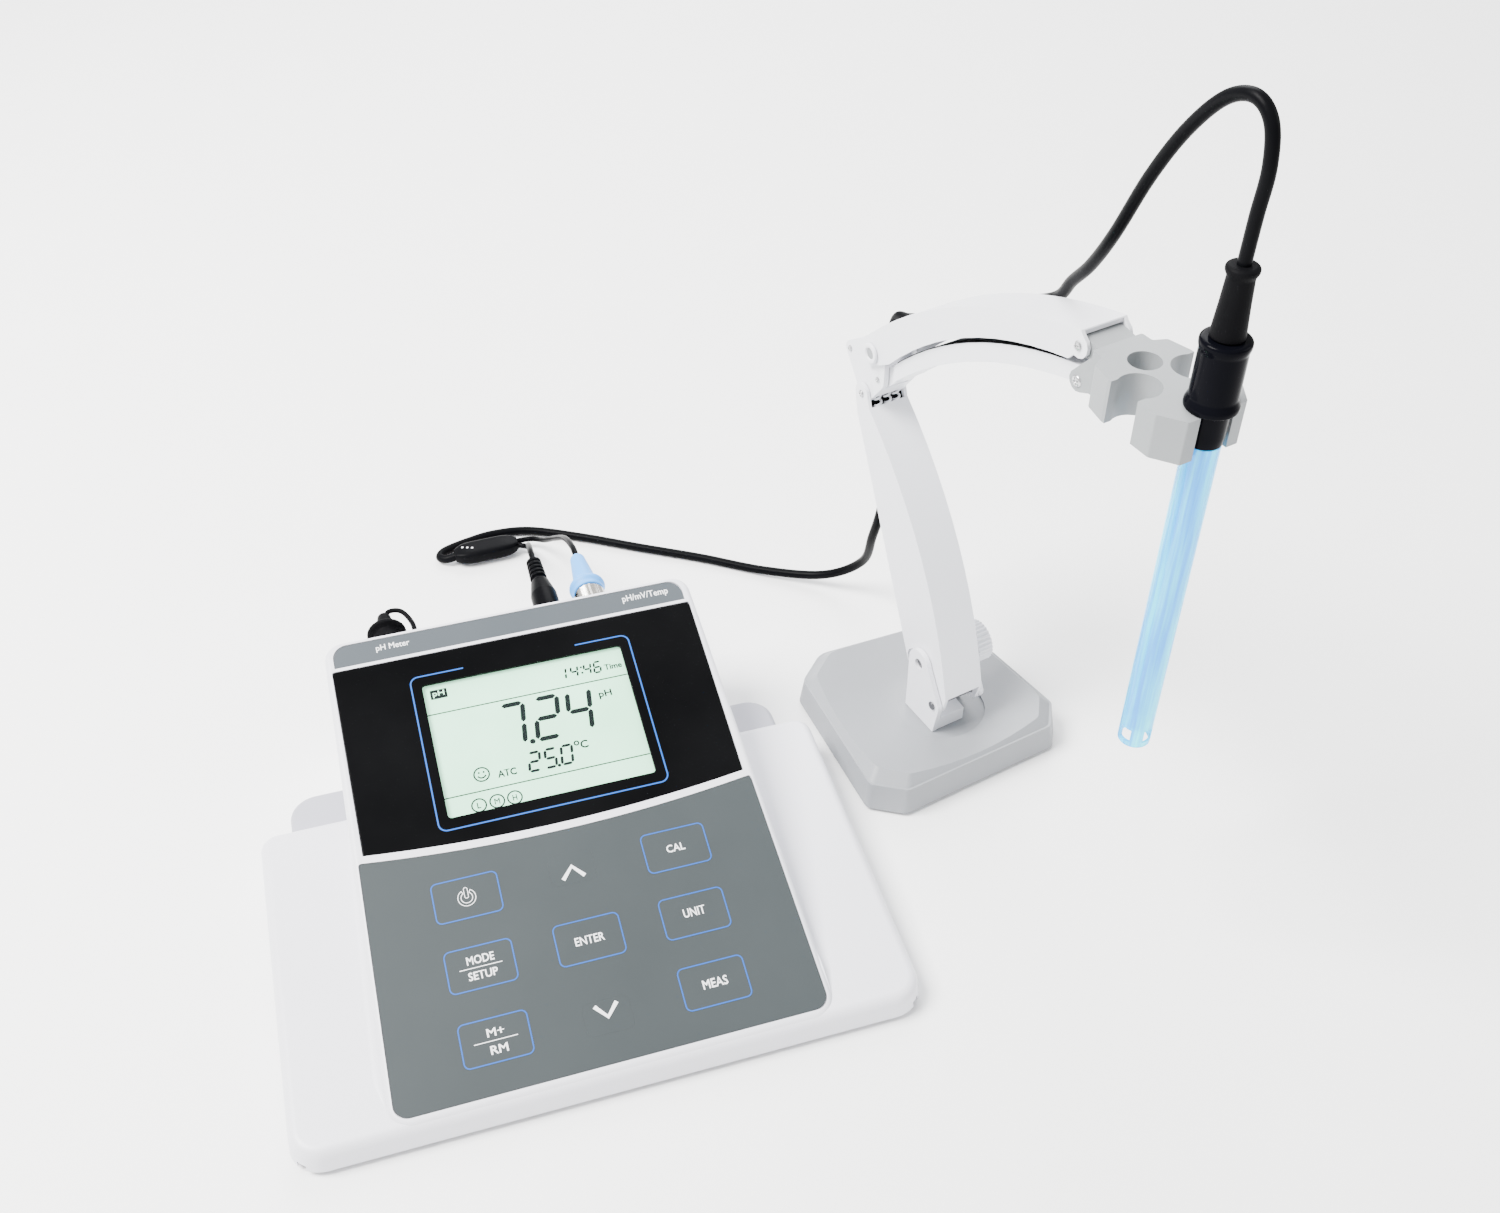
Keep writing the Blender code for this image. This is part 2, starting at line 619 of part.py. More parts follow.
def bnc_plug():
    collar = facing_back(rod("bnc_collar", 0.0070, 0.0030, 0.0142), NICKEL, BNC_X)
    cut(collar, facing_back(rod("bnc_bore", 0.0051, 0.0, 0.0200), None, BNC_X, cutter=True))
    length = BNC_PLUG_END_Y - BACK_WALL
    boot = [(0.0, length), (0.0026, length), (0.0034, length - 0.0014), (0.0054, 0.0230)]
    boot += [(0.0064, 0.0212), (0.0082, 0.0196), (0.0084, 0.0180), (0.0072, 0.0164), (0.0072, 0.0146)]
    boot += [(0.0, 0.0146)]
    facing_back(turned("bnc_boot", boot), PALE_BLUE, BNC_X)


def temperature_plug():
    length = TEMPERATURE_PLUG_END_Y - BACK_WALL
    plug = [(0.0, length), (0.0030, length)]
    for rib in range(5):
        start = length - 0.0008 - rib * 0.0028
        radius = 0.0036 + rib * 0.0001
        plug += [(radius, start), (radius, start - 0.0016), (0.0028, start - 0.0020)]
        plug += [(0.0028, start - 0.0024)]
    plug += [(0.0042, 0.0285), (0.0060, 0.0190), (0.0060, 0.0066), (0.0, 0.0066)]
    facing_back(turned("temperature_plug", plug, 12), CABLE_BLACK, TEMPERATURE_X)


# -------------------------------------------------------------- cables


SPLITTER_LEFT, SPLITTER_RIGHT = Vector(mm(-13, 212.5, 5.0)), Vector(mm(20, 213.5, 5.0))


def in_stand(x, y, z):
    """World place of a point given in the stand's frame, in millimetres."""
    turn_x, turn_y = math.cos(STAND_TURN), math.sin(STAND_TURN)
    x, y, z = mm(x, y, z)
    return (STAND_X + x * turn_x - y * turn_y, STAND_Y + x * turn_y + y * turn_x, z)


def cable_splitter():
    length = (SPLITTER_RIGHT - SPLITTER_LEFT).length
    middle = (SPLITTER_LEFT + SPLITTER_RIGHT) / 2
    outline = rounded_box(length, 0.0125, 0.0045, steps=3)
    body = add(plate("cable_splitter", [outline], -0.0036, 0.0036), CABLE_BLACK, location=middle)
    body.rotation_euler.z = math.radians(1.7)


def leads():
    """The two thin leads, from the plugs down to the splitter on the bench."""
    end, z = 1000 * BNC_PLUG_END_Y + 0.3, 1000 * SOCKET_Z
    bnc = [mm(1000 * BNC_X, end, z), mm(38.4, 142, 53.4), mm(37.6, 160, 45), mm(36.0, 184, 27)]
    bnc += [mm(33.0, 203, 12), mm(28.5, 213, 6.2), mm(20.8, 215.6, 5)]
    add(tube("bnc_lead", smooth_path(bnc, 3), LEAD_RADIUS), CABLE_BLACK)
    end = 1000 * TEMPERATURE_PLUG_END_Y + 0.3
    warm = [mm(1000 * TEMPERATURE_X, end, z), mm(18.9, 146, 52.8), mm(20.4, 165, 41), mm(22.8, 185, 24)]
    warm += [mm(24.6, 200, 10.5), mm(24.4, 207.5, 6), mm(20.8, 210.8, 5)]
    add(tube("temperature_lead", smooth_path(warm, 3), LEAD_RADIUS), CABLE_BLACK)


def electrode_cable():
    """One cable in four lengths: on the bench, up behind the arm, along the arm, and the free loop."""
    bench = [mm(-13.9, 212.5, 4.4), mm(-17.5, 213.2, 3.2), mm(-20.5, 217, 2.7), mm(-17, 221.5, 2.7)]
    bench += [mm(-5, 225.5, 2.7), mm(10, 228, 2.7), mm(29, 225, 2.7), mm(54, 211.5, 2.7)]
    bench += [mm(82, 193.5, 2.7), mm(110, 176, 2.7), mm(138, 156, 3.0)]
    rise = [mm(164, 138, 8), mm(179, 124, 24), in_stand(13, 80, 52), in_stand(12.8, 73, 78)]
    rise += [in_stand(13.2, 70, 112)]
    arm = [in_stand(14.3, 74, 148), in_stand(14.4, 76.5, 164), in_stand(14.2, 73.5, 174.5)]
    arm += [in_stand(13.6, 64, 179), in_stand(13.0, 45, 189), in_stand(12.8, 20, 207)]
    arm += [in_stand(12.8, -8, 223)]
    loop = [in_stand(12.4, -24, 233), in_stand(9, -34, 245), in_stand(5, -46, 258)]
    loop += [in_stand(1, -58.5, 276), in_stand(0, -70, 300), in_stand(0, -81, 319)]
    loop += [in_stand(0, -93, 333), in_stand(0, -103.5, 337.5), in_stand(0, -111, 333)]
    loop += [in_stand(0, -114, 321), in_stand(0, -113.4, 306), in_stand(0, -113.0, 291.3)]
    steps = 3
    path = smooth_path(bench + rise + arm + loop, steps)
    start = 0
    for name, knots in (("bench", bench), ("rise", rise), ("arm", arm), ("loop", loop)):
        end = start + len(knots) * steps
        span = path[start : end + 1]
        if start:
            span[0] = span[0] + (span[1] - span[0]).normalized() * 3 * GAP
        add(tube(f"cable_{name}", span, CABLE_RADIUS), CABLE_BLACK)
        start = end


# --------------------------------------------------------------- stand


def base_outline(inset=0.0):
    left, right = BASE_LEFT + inset, BASE_RIGHT - inset
    front, back = BASE_FRONT + inset, BASE_BACK - inset
    corners = [(left + 0.0130, front), (right - 0.0100, front), (right, front + 0.0120)]
    corners += [(right - 0.0030, back - 0.0400), (right - 0.0220, back - 0.0080)]
    corners += [(left + 0.0260, back), (left + 0.0090, back - 0.0120), (left, front + 0.0120)]
    return rounded(corners, [0.004, 0.004, 0.004, 0.012, 0.012, 0.010, 0.006, 0.004], 3)


def tapered(name, outline, bottom, top, low_scale, high_scale):
    """A plate whose outline shrinks towards the middle of the base, by one share at each level."""
    middle_x, middle_y = (BASE_LEFT + BASE_RIGHT) / 2, (BASE_FRONT + BASE_BACK) / 2
    obj = plate(name, [outline], bottom, top)
    for vertex in obj.data.vertices:
        scale = high_scale if vertex.co.z > (bottom + top) / 2 else low_scale
        vertex.co.x = middle_x + (vertex.co.x - middle_x) * scale
        vertex.co.y = middle_y + (vertex.co.y - middle_y) * scale
    return obj


def stand_base():
    """A heavy casting: sloped sides, a sloped rim, and a top that sags towards the swivel."""
    wall = tapered("stand_base", base_outline(), 0.0016, BASE_WALL_TOP, 1.0, 0.965)
    base = add(wall, BASE_GREY, parent=STAND)
    rim = tapered("base_rim", base_outline(), BASE_WALL_TOP - 0.0005, BASE_RIM_TOP, 0.958, 0.850)
    join(base, add(rim, parent=STAND, cutter=True))
    profile = [(0.0, 0.070), (0.090, 0.070), (0.0620, 0.0212), (0.0520, 0.0186), (0.0430, 0.0166)]
    profile += [(0.0350, 0.0150), (0.0280, 0.0137), (0.0220, 0.0127), (0.0150, BASE_FLOOR)]
    bowl = turned("base_bowl", profile + [(0.0, BASE_FLOOR)], 32)
    add(bowl, location=(-0.0030, 0.0050, 0.0), parent=STAND, cutter=True)
    flat = add(rod("swivel_seat", 0.0200, BASE_FLOOR, 0.0240, 32), parent=STAND, cutter=True)
    bore = add(rod("swivel_bore", 0.0034, 0.0, 0.0300, 20), parent=STAND, cutter=True)
    well = add(rod("swivel_well", 0.0080, 0.0, 0.0062, 20), parent=STAND, cutter=True)
    cut(base, bowl, flat, bore, well)


def base_pad():
    pad = plate("base_pad", [base_outline(0.004), arc((0.0, 0.0), 0.0120, 0, 345, 23)], 0.0, 0.0013)
    add(pad, RUBBER, parent=STAND)


def swivel_bolt():
    profile = [(0.0, 0.0190), (0.0028, 0.0190), (0.0031, 0.0185), (0.0031, 0.0058), (0.0070, 0.0058)]
    profile += [(0.0070, 0.0030), (0.0, 0.0030)]
    add(turned("swivel_bolt", profile, 20), STEEL, parent=STAND)


PEDESTAL = empty("swivel_axis", (0.0, 0.0, 0.0), parent=STAND)


def arm_piece(obj, finish, pivot, parent, cutter=False):
    """Places a piece drawn in the arm's plane about its pivot."""
    location = (0.0, pivot.x, pivot.y)
    return add(obj, finish, location=location, rotation=ARM_PLANE, parent=parent, cutter=cutter)


def cross_rod(name, radius, low, high, pivot, segments=14):
    """A cylinder across the arm at a pivot, drawn about another piece's pivot frame."""
    obj = rod(name, radius, low, high, segments)
    return arm_piece(obj, None, pivot, PEDESTAL, cutter=True)


def pedestal():
    foot = [(-0.0105, PEDESTAL_BOTTOM), (0.0105, PEDESTAL_BOTTOM), (0.0105, 0.0215), (-0.0105, 0.0190)]
    block = bar("pedestal", foot, REAR_PIVOT, -CHEEK_OUTER, 0.0045)
    arm_piece(block, BAR_WHITE, REAR_PIVOT, PEDESTAL)
    left = [(-0.0108, PEDESTAL_BOTTOM), (0.0102, PEDESTAL_BOTTOM)]
    left += arc((REAR_PIVOT.x, REAR_PIVOT.y), 0.0072, -8, 165, 8)
    left += arc((FRONT_PIVOT.x, FRONT_PIVOT.y), 0.0044, 140, 190, 3)
    right = [(0.0010, 0.0140), (0.0102, 0.0140)]
    right += arc((REAR_PIVOT.x, REAR_PIVOT.y), 0.0072, -8, 165, 8)
    right += arc((FRONT_PIVOT.x, FRONT_PIVOT.y), 0.0044, 140, 300, 6)
    near = bar("left_cheek", left, REAR_PIVOT, -CHEEK_OUTER - 0.00005, -CHEEK_INNER)
    far = bar("right_cheek", right, REAR_PIVOT, CHEEK_INNER, CHEEK_OUTER)
    low = PEDESTAL_BOTTOM + 0.0005
    step = [(0.0015, low), (0.0100, low), (0.0100, 0.0205), (0.0015, 0.0195)]
    bridge = bar("foot_bridge", step, REAR_PIVOT, 0.0020, CHEEK_OUTER - 0.0002)
    for piece in (near, far, bridge):
        join(block, arm_piece(piece, None, REAR_PIVOT, PEDESTAL, cutter=True))
    cut(block, cross_rod("front_pin_hole", PIN_HOLE, -0.02, 0.02, FRONT_PIVOT))
    cut(block, cross_rod("tension_hole", BOLT_HOLE, -0.02, 0.02, REAR_PIVOT))
    socket = add(rod("pedestal_bore", 0.0034, 0.0, 0.0198, 20), parent=PEDESTAL, cutter=True)
    cut(block, socket)


def pins():
    """The pins and bolts across the arm, drawn from their right end to their left one."""
    front = [(0.0, 0.0121), (PIN_RADIUS, 0.0121), (PIN_RADIUS, -0.0126), (0.0020, -0.0126)]
    front += [(0.0020, -0.0132), (0.0, -0.0132)]
    arm_piece(turned("front_pin", front, 16), STEEL, FRONT_PIVOT, PEDESTAL)
    stud = [(0.0, 0.0208), (BOLT_RADIUS, 0.0208), (BOLT_RADIUS, -0.0114), (0.0, -0.0114)]
    arm_piece(turned("tension_bolt", stud, 20), STEEL, REAR_PIVOT, PEDESTAL)
    upper = [(0.0, 0.0110), (BOLT_RADIUS, 0.0110), (BOLT_RADIUS, -0.0101), (0.0044, -0.0101)]
    upper += [(0.0044, -0.0110), (0.0, -0.0110)]
    arm_piece(turned("upper_bolt", upper, 20), BAR_WHITE, UPPER_PIVOT, ELBOW_AXIS)
    holder_end = [(0.0, 0.0098), (PIN_RADIUS, 0.0098), (PIN_RADIUS, -0.0101), (0.0019, -0.0101)]
    holder_end += [(0.0019, -0.0106), (0.0, -0.0106)]
    arm_piece(turned("holder_pin", holder_end, 16), STEEL, HOLDER_PIVOT, UPPER_AXIS)


def tension_knob():
    """A ribbed hand knob on the threaded end of the tension bolt."""
    outline = []
    for step in range(KNOB_RIBS * 4):
        angle = math.tau * step / (KNOB_RIBS * 4)
        radius = KNOB_RADIUS if step // 2 % 2 else KNOB_RADIUS - 0.0007
        outline.append((radius * math.cos(angle), radius * math.sin(angle)))
    knob = plate("tension_knob", [outline], 0.0140, 0.0216)
    arm_piece(knob, BAR_WHITE, REAR_PIVOT, PEDESTAL)
    join(knob, cross_rod("knob_neck", 0.0056, 0.0127, 0.0150, REAR_PIVOT))
    cut(knob, cross_rod("knob_thread", BOLT_HOLE, 0.0, 0.0225, REAR_PIVOT))


LOWER_AXIS = empty("lower_arm_axis", (0.0, 0.0, 0.0), parent=PEDESTAL)
ELBOW_AXIS = empty("elbow_axis", (0.0, 0.0, 0.0), parent=LOWER_AXIS)
UPPER_AXIS = empty("upper_arm_axis", (0.0, 0.0, 0.0), parent=ELBOW_AXIS)
HOLDER_AXIS = empty("holder_axis", (0.0, 0.0, 0.0), parent=UPPER_AXIS)

LOWER_FRONT_START, LOWER_FRONT_END = mm(-14.6, 33.5), mm(56.5, 146.5)


def lower_front_bar():
    """A channel with a wide curved front face, open to the rear, with ears at both pivots."""
    front = bowed(LOWER_FRONT_START, LOWER_FRONT_END, LOWER_BULGE, 12)
    outline = arc(FRONT_PIVOT, 0.0042, 285, 180, 5) + front
    outline += arc(ELBOW_PIVOT, 0.0046, 150, -10, 7) + [mm(65.0, 140), mm(15.0, 35.5), mm(9.0, 29.5)]
    channel = bar("lower_front_bar", outline, FRONT_PIVOT, -BAR_HALF, BAR_HALF)
    arm_piece(channel, BAR_WHITE, FRONT_PIVOT, LOWER_AXIS)
    inner = bowed(mm(-12.6, 33.6), mm(57.9, 145.0), LOWER_BULGE, 12)
    corners = [mm(50, 152), mm(50, 170), mm(90, 170), mm(40, 10)]
    inner = [mm(-22, 22), mm(-22, 33.6)] + inner + corners
    hollow = bar("lower_hollow", inner, FRONT_PIVOT, -BAR_INNER, BAR_INNER)
    cut(channel, arm_piece(hollow, None, FRONT_PIVOT, LOWER_AXIS, cutter=True))
    cut(channel, cross_rod("lower_pin_hole", PIN_HOLE, -0.02, 0.02, FRONT_PIVOT))
    cut(channel, cross_rod("lower_elbow_hole", PIN_HOLE, -0.02, 0.02, ELBOW_PIVOT))
    back_end, front_end = REAR_PIVOT + Vector(mm(-2.5, 1.9)), REAR_PIVOT + Vector(mm(6, -4))
    way = around([(back_end, 0.0034), (REAR_PIVOT, 0.0036), (front_end, 0.0060)])
    clearance = bar("bolt_way", way, REAR_PIVOT, -0.02, 0.02)
    cut(channel, arm_piece(clearance, None, REAR_PIVOT, LOWER_AXIS, cutter=True))


def lower_rear_link():
    outline = around([(REAR_PIVOT, 0.0040), (ELBOW_REAR_PIVOT, 0.0030)], 16)
    link = bar("lower_rear_link", outline, REAR_PIVOT, -LINK_HALF, LINK_HALF)
    arm_piece(link, BAR_WHITE, REAR_PIVOT, PEDESTAL)
    cut(link, cross_rod("link_bolt_hole", BOLT_HOLE, -0.02, 0.02, REAR_PIVOT))
    cut(link, cross_rod("link_elbow_hole", PIN_HOLE, -0.02, 0.02, ELBOW_REAR_PIVOT))


def elbow_block():
    """Two cheeks joined by the moulded pins and hubs that the four bars turn on."""
    circles = [(ELBOW_REAR_PIVOT, 0.0034), (UPPER_PIVOT, 0.0070), (UNDER_PIVOT, 0.0042)]
    circles += [(ELBOW_PIVOT, 0.0042)]
    outline = around(circles, 16)
    block = bar("elbow_block", outline, ELBOW_PIVOT, -ELBOW_HALF, -ELBOW_INNER)
    arm_piece(block, BAR_WHITE, ELBOW_PIVOT, ELBOW_AXIS)
    far = bar("far_cheek", outline, ELBOW_PIVOT, ELBOW_INNER, ELBOW_HALF)
    join(block, arm_piece(far, None, ELBOW_PIVOT, ELBOW_AXIS, cutter=True))
    reach = ELBOW_INNER + 0.0010
    join(block, cross_rod("left_stud", PIN_RADIUS, -BAR_HALF, -reach, ELBOW_PIVOT))
    join(block, cross_rod("right_stud", PIN_RADIUS, reach, BAR_HALF, ELBOW_PIVOT))
    join(block, cross_rod("upper_hub", 0.0042, -reach, reach, UPPER_PIVOT))
    join(block, cross_rod("rear_stud", PIN_RADIUS, -reach, reach, ELBOW_REAR_PIVOT))
    join(block, cross_rod("under_stud", PIN_RADIUS, -reach, reach, UNDER_PIVOT))
    cut(block, cross_rod("upper_hole", BOLT_HOLE, -0.02, 0.02, UPPER_PIVOT))


UPPER_TOP_START, UPPER_TOP_END = mm(59.0, 181.4), mm(-61.5, 245.4)
UPPER_UNDER_START, UPPER_UNDER_END = mm(44.5, 174.5), mm(-57.5, 232.5)


def upper_top_bar():
    """A curved channel open below, whose flanges hold the elbow and the holder."""
    top = bowed(UPPER_TOP_START, UPPER_TOP_END, -UPPER_BULGE, 12)
    under = bowed(UPPER_UNDER_START, UPPER_UNDER_END, -UPPER_BULGE * 0.95, 12)
    outline = arc(UPPER_PIVOT, 0.0076, -75, 62, 8) + top
    outline += arc(HOLDER_PIVOT, 0.0046, 110, 290, 6) + under[::-1]
    channel = bar("upper_top_bar", outline, UPPER_PIVOT, -BAR_HALF, BAR_HALF)
    arm_piece(channel, BAR_WHITE, UPPER_PIVOT, UPPER_AXIS)
    inner = bowed(mm(48.0, 187.0), mm(-61.8, 243.4), -UPPER_BULGE * 0.98, 12)
    corners = [mm(-62, 250), mm(-90, 250), mm(-90, 200), mm(40, 140), mm(80, 150)]
    inner = [mm(70, 178)] + inner + corners
    hollow = bar("upper_hollow", inner, UPPER_PIVOT, -BAR_INNER, BAR_INNER)
    cut(channel, arm_piece(hollow, None, UPPER_PIVOT, UPPER_AXIS, cutter=True))
    cut(channel, cross_rod("upper_bolt_hole", BOLT_HOLE, -0.02, 0.02, UPPER_PIVOT))
    cut(channel, cross_rod("upper_pin_hole", PIN_HOLE, -0.02, 0.02, HOLDER_PIVOT))


def upper_under_bar():
    top = bowed(mm(46.0, 171.5), mm(-58.0, 230.5), -UPPER_BULGE * 0.9, 12)
    low = bowed(mm(48.5, 160.6), mm(-58.0, 223.5), -UPPER_BULGE * 0.9, 12)
    outline = arc(HOLDER_UNDER_PIVOT, 0.0042, 100, 260, 6) + low[::-1]
    outline += arc(UNDER_PIVOT, 0.0040, -120, 80, 6) + top
    under = bar("upper_under_bar", outline, UNDER_PIVOT, -UNDER_HALF, UNDER_HALF)
    arm_piece(under, BAR_WHITE, UNDER_PIVOT, UPPER_AXIS)
    tongue = [mm(43.6, 200), mm(43.6, 140), mm(80, 140), mm(80, 200)]
    for number, low_x, high_x in ((0, -0.02, -LINK_HALF), (1, LINK_HALF, 0.02)):
        side = bar(f"tongue_side_{number}", tongue, UNDER_PIVOT, low_x, high_x)
        cut(under, arm_piece(side, None, UNDER_PIVOT, UPPER_AXIS, cutter=True))
    cut(under, cross_rod("under_stud_hole", PIN_HOLE, -0.02, 0.02, UNDER_PIVOT))
    cut(under, cross_rod("under_fork_hole", PIN_HOLE, -0.02, 0.02, HOLDER_UNDER_PIVOT))


# -------------------------------------------------------------- holder and electrode


def holder_outline():
    """Half of the holder's plan as (x, y), from its back to the middle of its front."""
    half = [mm(10.5, -69.0), mm(10.5, -74.0), mm(15.4, -76.0), mm(17.4, -85.0), mm(17.8, -108.0)]
    half += [mm(12.0, -116.5)]
    return half + [(-x, y) for x, y in reversed(half)]


def holder():
    radii = [0.0008, 0.001, 0.0015, 0.002, 0.0015, 0.001]
    outline = rounded(holder_outline(), radii + radii[::-1], 3)
    hole = arc((0.0, HOLE_Y), HOLE_RADIUS, 0, 345, 23)
    block = plate("electrode_holder", [outline, hole], HOLDER_BOTTOM, HOLDER_TOP)
    add(block, HOLDER_GREY, parent=HOLDER_AXIS)
    slot = [(-SLOT_RADIUS, -0.130), (SLOT_RADIUS, -0.130)]
    slot += arc((0.0, ELECTRODE_Y), SLOT_RADIUS, 0, 180, 10)
    cut(block, add(plate("end_slot", [slot], 0.2, 0.3), parent=HOLDER_AXIS, cutter=True))
    for side in (-1, 1):
        circle = arc((side * NOTCH_X, NOTCH_Y), NOTCH_RADIUS, 0, 345, 23)
        notch = plate(f"side_notch_{side + 1}", [circle], 0.2, 0.3)
        cut(block, add(notch, parent=HOLDER_AXIS, cutter=True))
        mouth = box(f"notch_mouth_{side + 1}", (0.0100, 0.0130, 0.1), (side * 0.0185, NOTCH_Y, 0.25))
        cut(block, add(mouth, parent=HOLDER_AXIS, cutter=True))
    lug = around([(HOLDER_PIVOT, 0.0032), (Vector(mm(-70, 238.2)), 0.0033)])
    neck = bar("upper_lug", lug, HOLDER_PIVOT, -ELBOW_HALF, ELBOW_HALF)
    join(block, arm_piece(neck, None, HOLDER_PIVOT, HOLDER_AXIS, cutter=True))
    low_end, high_end = Vector(mm(-71, 229.5)), Vector(mm(-71, 237))
    tail = around([(HOLDER_UNDER_PIVOT, 0.0040), (low_end, 0.0030), (high_end, 0.0030)])
    for side, low, high in (("left", -0.0105, -0.0080), ("right", 0.0080, 0.0105)):
        cheek = bar(f"{side}_holder_cheek", tail, HOLDER_PIVOT, low, high)
        join(block, arm_piece(cheek, None, HOLDER_PIVOT, HOLDER_AXIS, cutter=True))
    join(block, cross_rod("holder_stud", PIN_RADIUS, -0.0090, 0.0090, HOLDER_UNDER_PIVOT))
    cut(block, cross_rod("holder_hole", PIN_HOLE, -0.02, 0.02, HOLDER_PIVOT))


ELECTRODE = empty("electrode_axis", (0.0, ELECTRODE_Y, 0.0), parent=HOLDER_AXIS)


def electrode():
    boot = [(0.0, 0.2910), (0.0042, 0.2910), (0.0052, 0.2900), (0.0052, 0.2892), (0.0043, 0.2872)]
    boot += [(0.0057, 0.2672), (0.0, 0.2672)]
    add(turned("electrode_boot", boot), RUBBER, parent=ELECTRODE)
    cap = [(0.0, 0.2668), (0.0074, 0.2668), (0.0081, 0.2660), (0.0081, 0.2640), (0.0077, 0.2630)]
    cap += [(0.0078, 0.2464), (0.0088, 0.2438), (0.0088, 0.2424), (0.0066, 0.2424), (0.0062, 0.2293)]
    cap += [(0.0, 0.2293)]
    add(turned("electrode_cap", cap), CAP_BLACK, parent=ELECTRODE)
    body = [(0.0, TUBE_TOP), (TUBE_RADIUS, TUBE_TOP), (TUBE_RADIUS, TUBE_TIP), (0.0051, TUBE_TIP)]
    body += [(0.0051, 0.1085), (0.0045, 0.1105), (0.0045, 0.2250), (0.0, 0.2250)]
    shell = add(turned("electrode_tube", body), CLEAR_BLUE, parent=ELECTRODE)
    for number, turn in enumerate((0.0, 90.0)):
        slit = box(f"guard_slit_{number}", (0.0200, 0.0048, 0.0100), (0.0, 0.0, TUBE_TIP + 0.0015))
        add(slit, rotation=(0.0, 0.0, math.radians(turn)), parent=ELECTRODE, cutter=True)
        cut(shell, slit)
    inner = [(0.0, 0.2245), (0.0021, 0.2245), (0.0021, 0.1090), (0.0, 0.1090)]
    add(turned("reference_tube", inner, 16), CLEAR_BLUE, parent=ELECTRODE)
    bulb = [(0.0, 0.1086), (0.0024, 0.1084), (0.0034, 0.1064), (0.0036, 0.1040), (0.0030, 0.1018)]
    bulb += [(0.0016, 0.1004), (0.0, 0.1000)]
    add(turned("glass_bulb", bulb, 20), GLASS, parent=ELECTRODE)


upper_case()
bottom_plate()
feet_and_screws()
front_panel()
main_board()
sockets()
dust_cap()
bnc_plug()
temperature_plug()
cable_splitter()
leads()
electrode_cable()
stand_base()
base_pad()
swivel_bolt()
pedestal()
pins()
tension_knob()
lower_front_bar()
lower_rear_link()
elbow_block()
upper_top_bar()
upper_under_bar()
holder()
electrode()
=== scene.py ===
"""Looks of the benchtop pH meter, its electrode stand, electrode and cable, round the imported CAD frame."""

import math

import bmesh
import bpy
from mathutils import Matrix, Quaternion, Vector
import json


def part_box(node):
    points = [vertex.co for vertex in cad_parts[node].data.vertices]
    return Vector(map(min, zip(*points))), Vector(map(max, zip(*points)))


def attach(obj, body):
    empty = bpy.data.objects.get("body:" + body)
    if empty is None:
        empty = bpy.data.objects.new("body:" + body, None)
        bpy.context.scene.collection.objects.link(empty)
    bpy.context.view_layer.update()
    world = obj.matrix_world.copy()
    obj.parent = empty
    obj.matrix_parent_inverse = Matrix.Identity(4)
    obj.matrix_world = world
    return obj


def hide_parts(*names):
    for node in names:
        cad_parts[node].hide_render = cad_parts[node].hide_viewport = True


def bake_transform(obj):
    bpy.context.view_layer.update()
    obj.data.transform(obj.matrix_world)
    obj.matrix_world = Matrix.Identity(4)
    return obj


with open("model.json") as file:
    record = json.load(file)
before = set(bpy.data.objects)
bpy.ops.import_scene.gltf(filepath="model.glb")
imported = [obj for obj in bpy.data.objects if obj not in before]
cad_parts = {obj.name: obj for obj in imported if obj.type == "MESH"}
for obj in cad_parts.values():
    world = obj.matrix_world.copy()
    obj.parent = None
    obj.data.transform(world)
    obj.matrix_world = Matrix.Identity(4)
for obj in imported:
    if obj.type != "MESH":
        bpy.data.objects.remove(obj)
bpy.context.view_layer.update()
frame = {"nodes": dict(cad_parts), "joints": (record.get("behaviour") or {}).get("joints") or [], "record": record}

RECORD = frame["record"]
JOINTS = {joint["name"]: joint for joint in frame["joints"]}
MOUNTS = {mount["name"]: Vector(mount["pos_m"]) for mount in RECORD["mounts"]}
FOOT = MOUNTS["foot_rest"]
CENTRE = FOOT + Vector((0.100, 0.095, 0.0))
PRESS = Vector(JOINTS["key_enter_press"]["axis"])
SLOPE = math.atan2(PRESS.y, -PRESS.z)
FACE_HEIGHT = 0.0433
PANEL = Matrix.Translation(CENTRE + Vector((0, 0, FACE_HEIGHT))) @ Matrix.Rotation(SLOPE, 4, "X")
SWIVEL = Vector(JOINTS["stand_swivel"]["pos_m"])
ARM_AXIS = Vector(JOINTS["lower_arm"]["axis"])
TURN = math.atan2(ARM_AXIS.y, ARM_AXIS.x)
STAND = Matrix.Translation((SWIVEL.x, SWIVEL.y, 0.0)) @ Matrix.Rotation(TURN, 4, "Z")
# Turns a shape drawn as (y, z, x) into the arm's plane
ARM = Matrix(((0, 0, 1, 0), (1, 0, 0, 0), (0, 1, 0, 0), (0, 0, 0, 1)))
SOCKET_Z = JOINTS["bnc_collar_turn"]["pos_m"][2] - FOOT.z
BNC_X, TEMPERATURE_X, COVERED_X = 0.0385, 0.0185, -0.053
BACK = 0.0905
BASE = "base_group"
BAR_HALF, CHEEK_HALF = 0.0098, 0.0080


def mm(*values):
    """Millimetres as the metres of the frame."""
    return tuple(value * 0.001 for value in values)


def points(*values):
    """Flat points from a row of millimetres."""
    return list(zip(mm(*values[::2]), mm(*values[1::2])))


# ---- materials


def new_material(name):
    made = bpy.data.materials.new(name)
    made.use_nodes = True
    return made, made.node_tree


def fill(node, **values):
    """Sets a node's inputs by their names, with _ for a space."""
    for name, value in values.items():
        node.inputs[name.replace("_", " ")].default_value = value
    return node


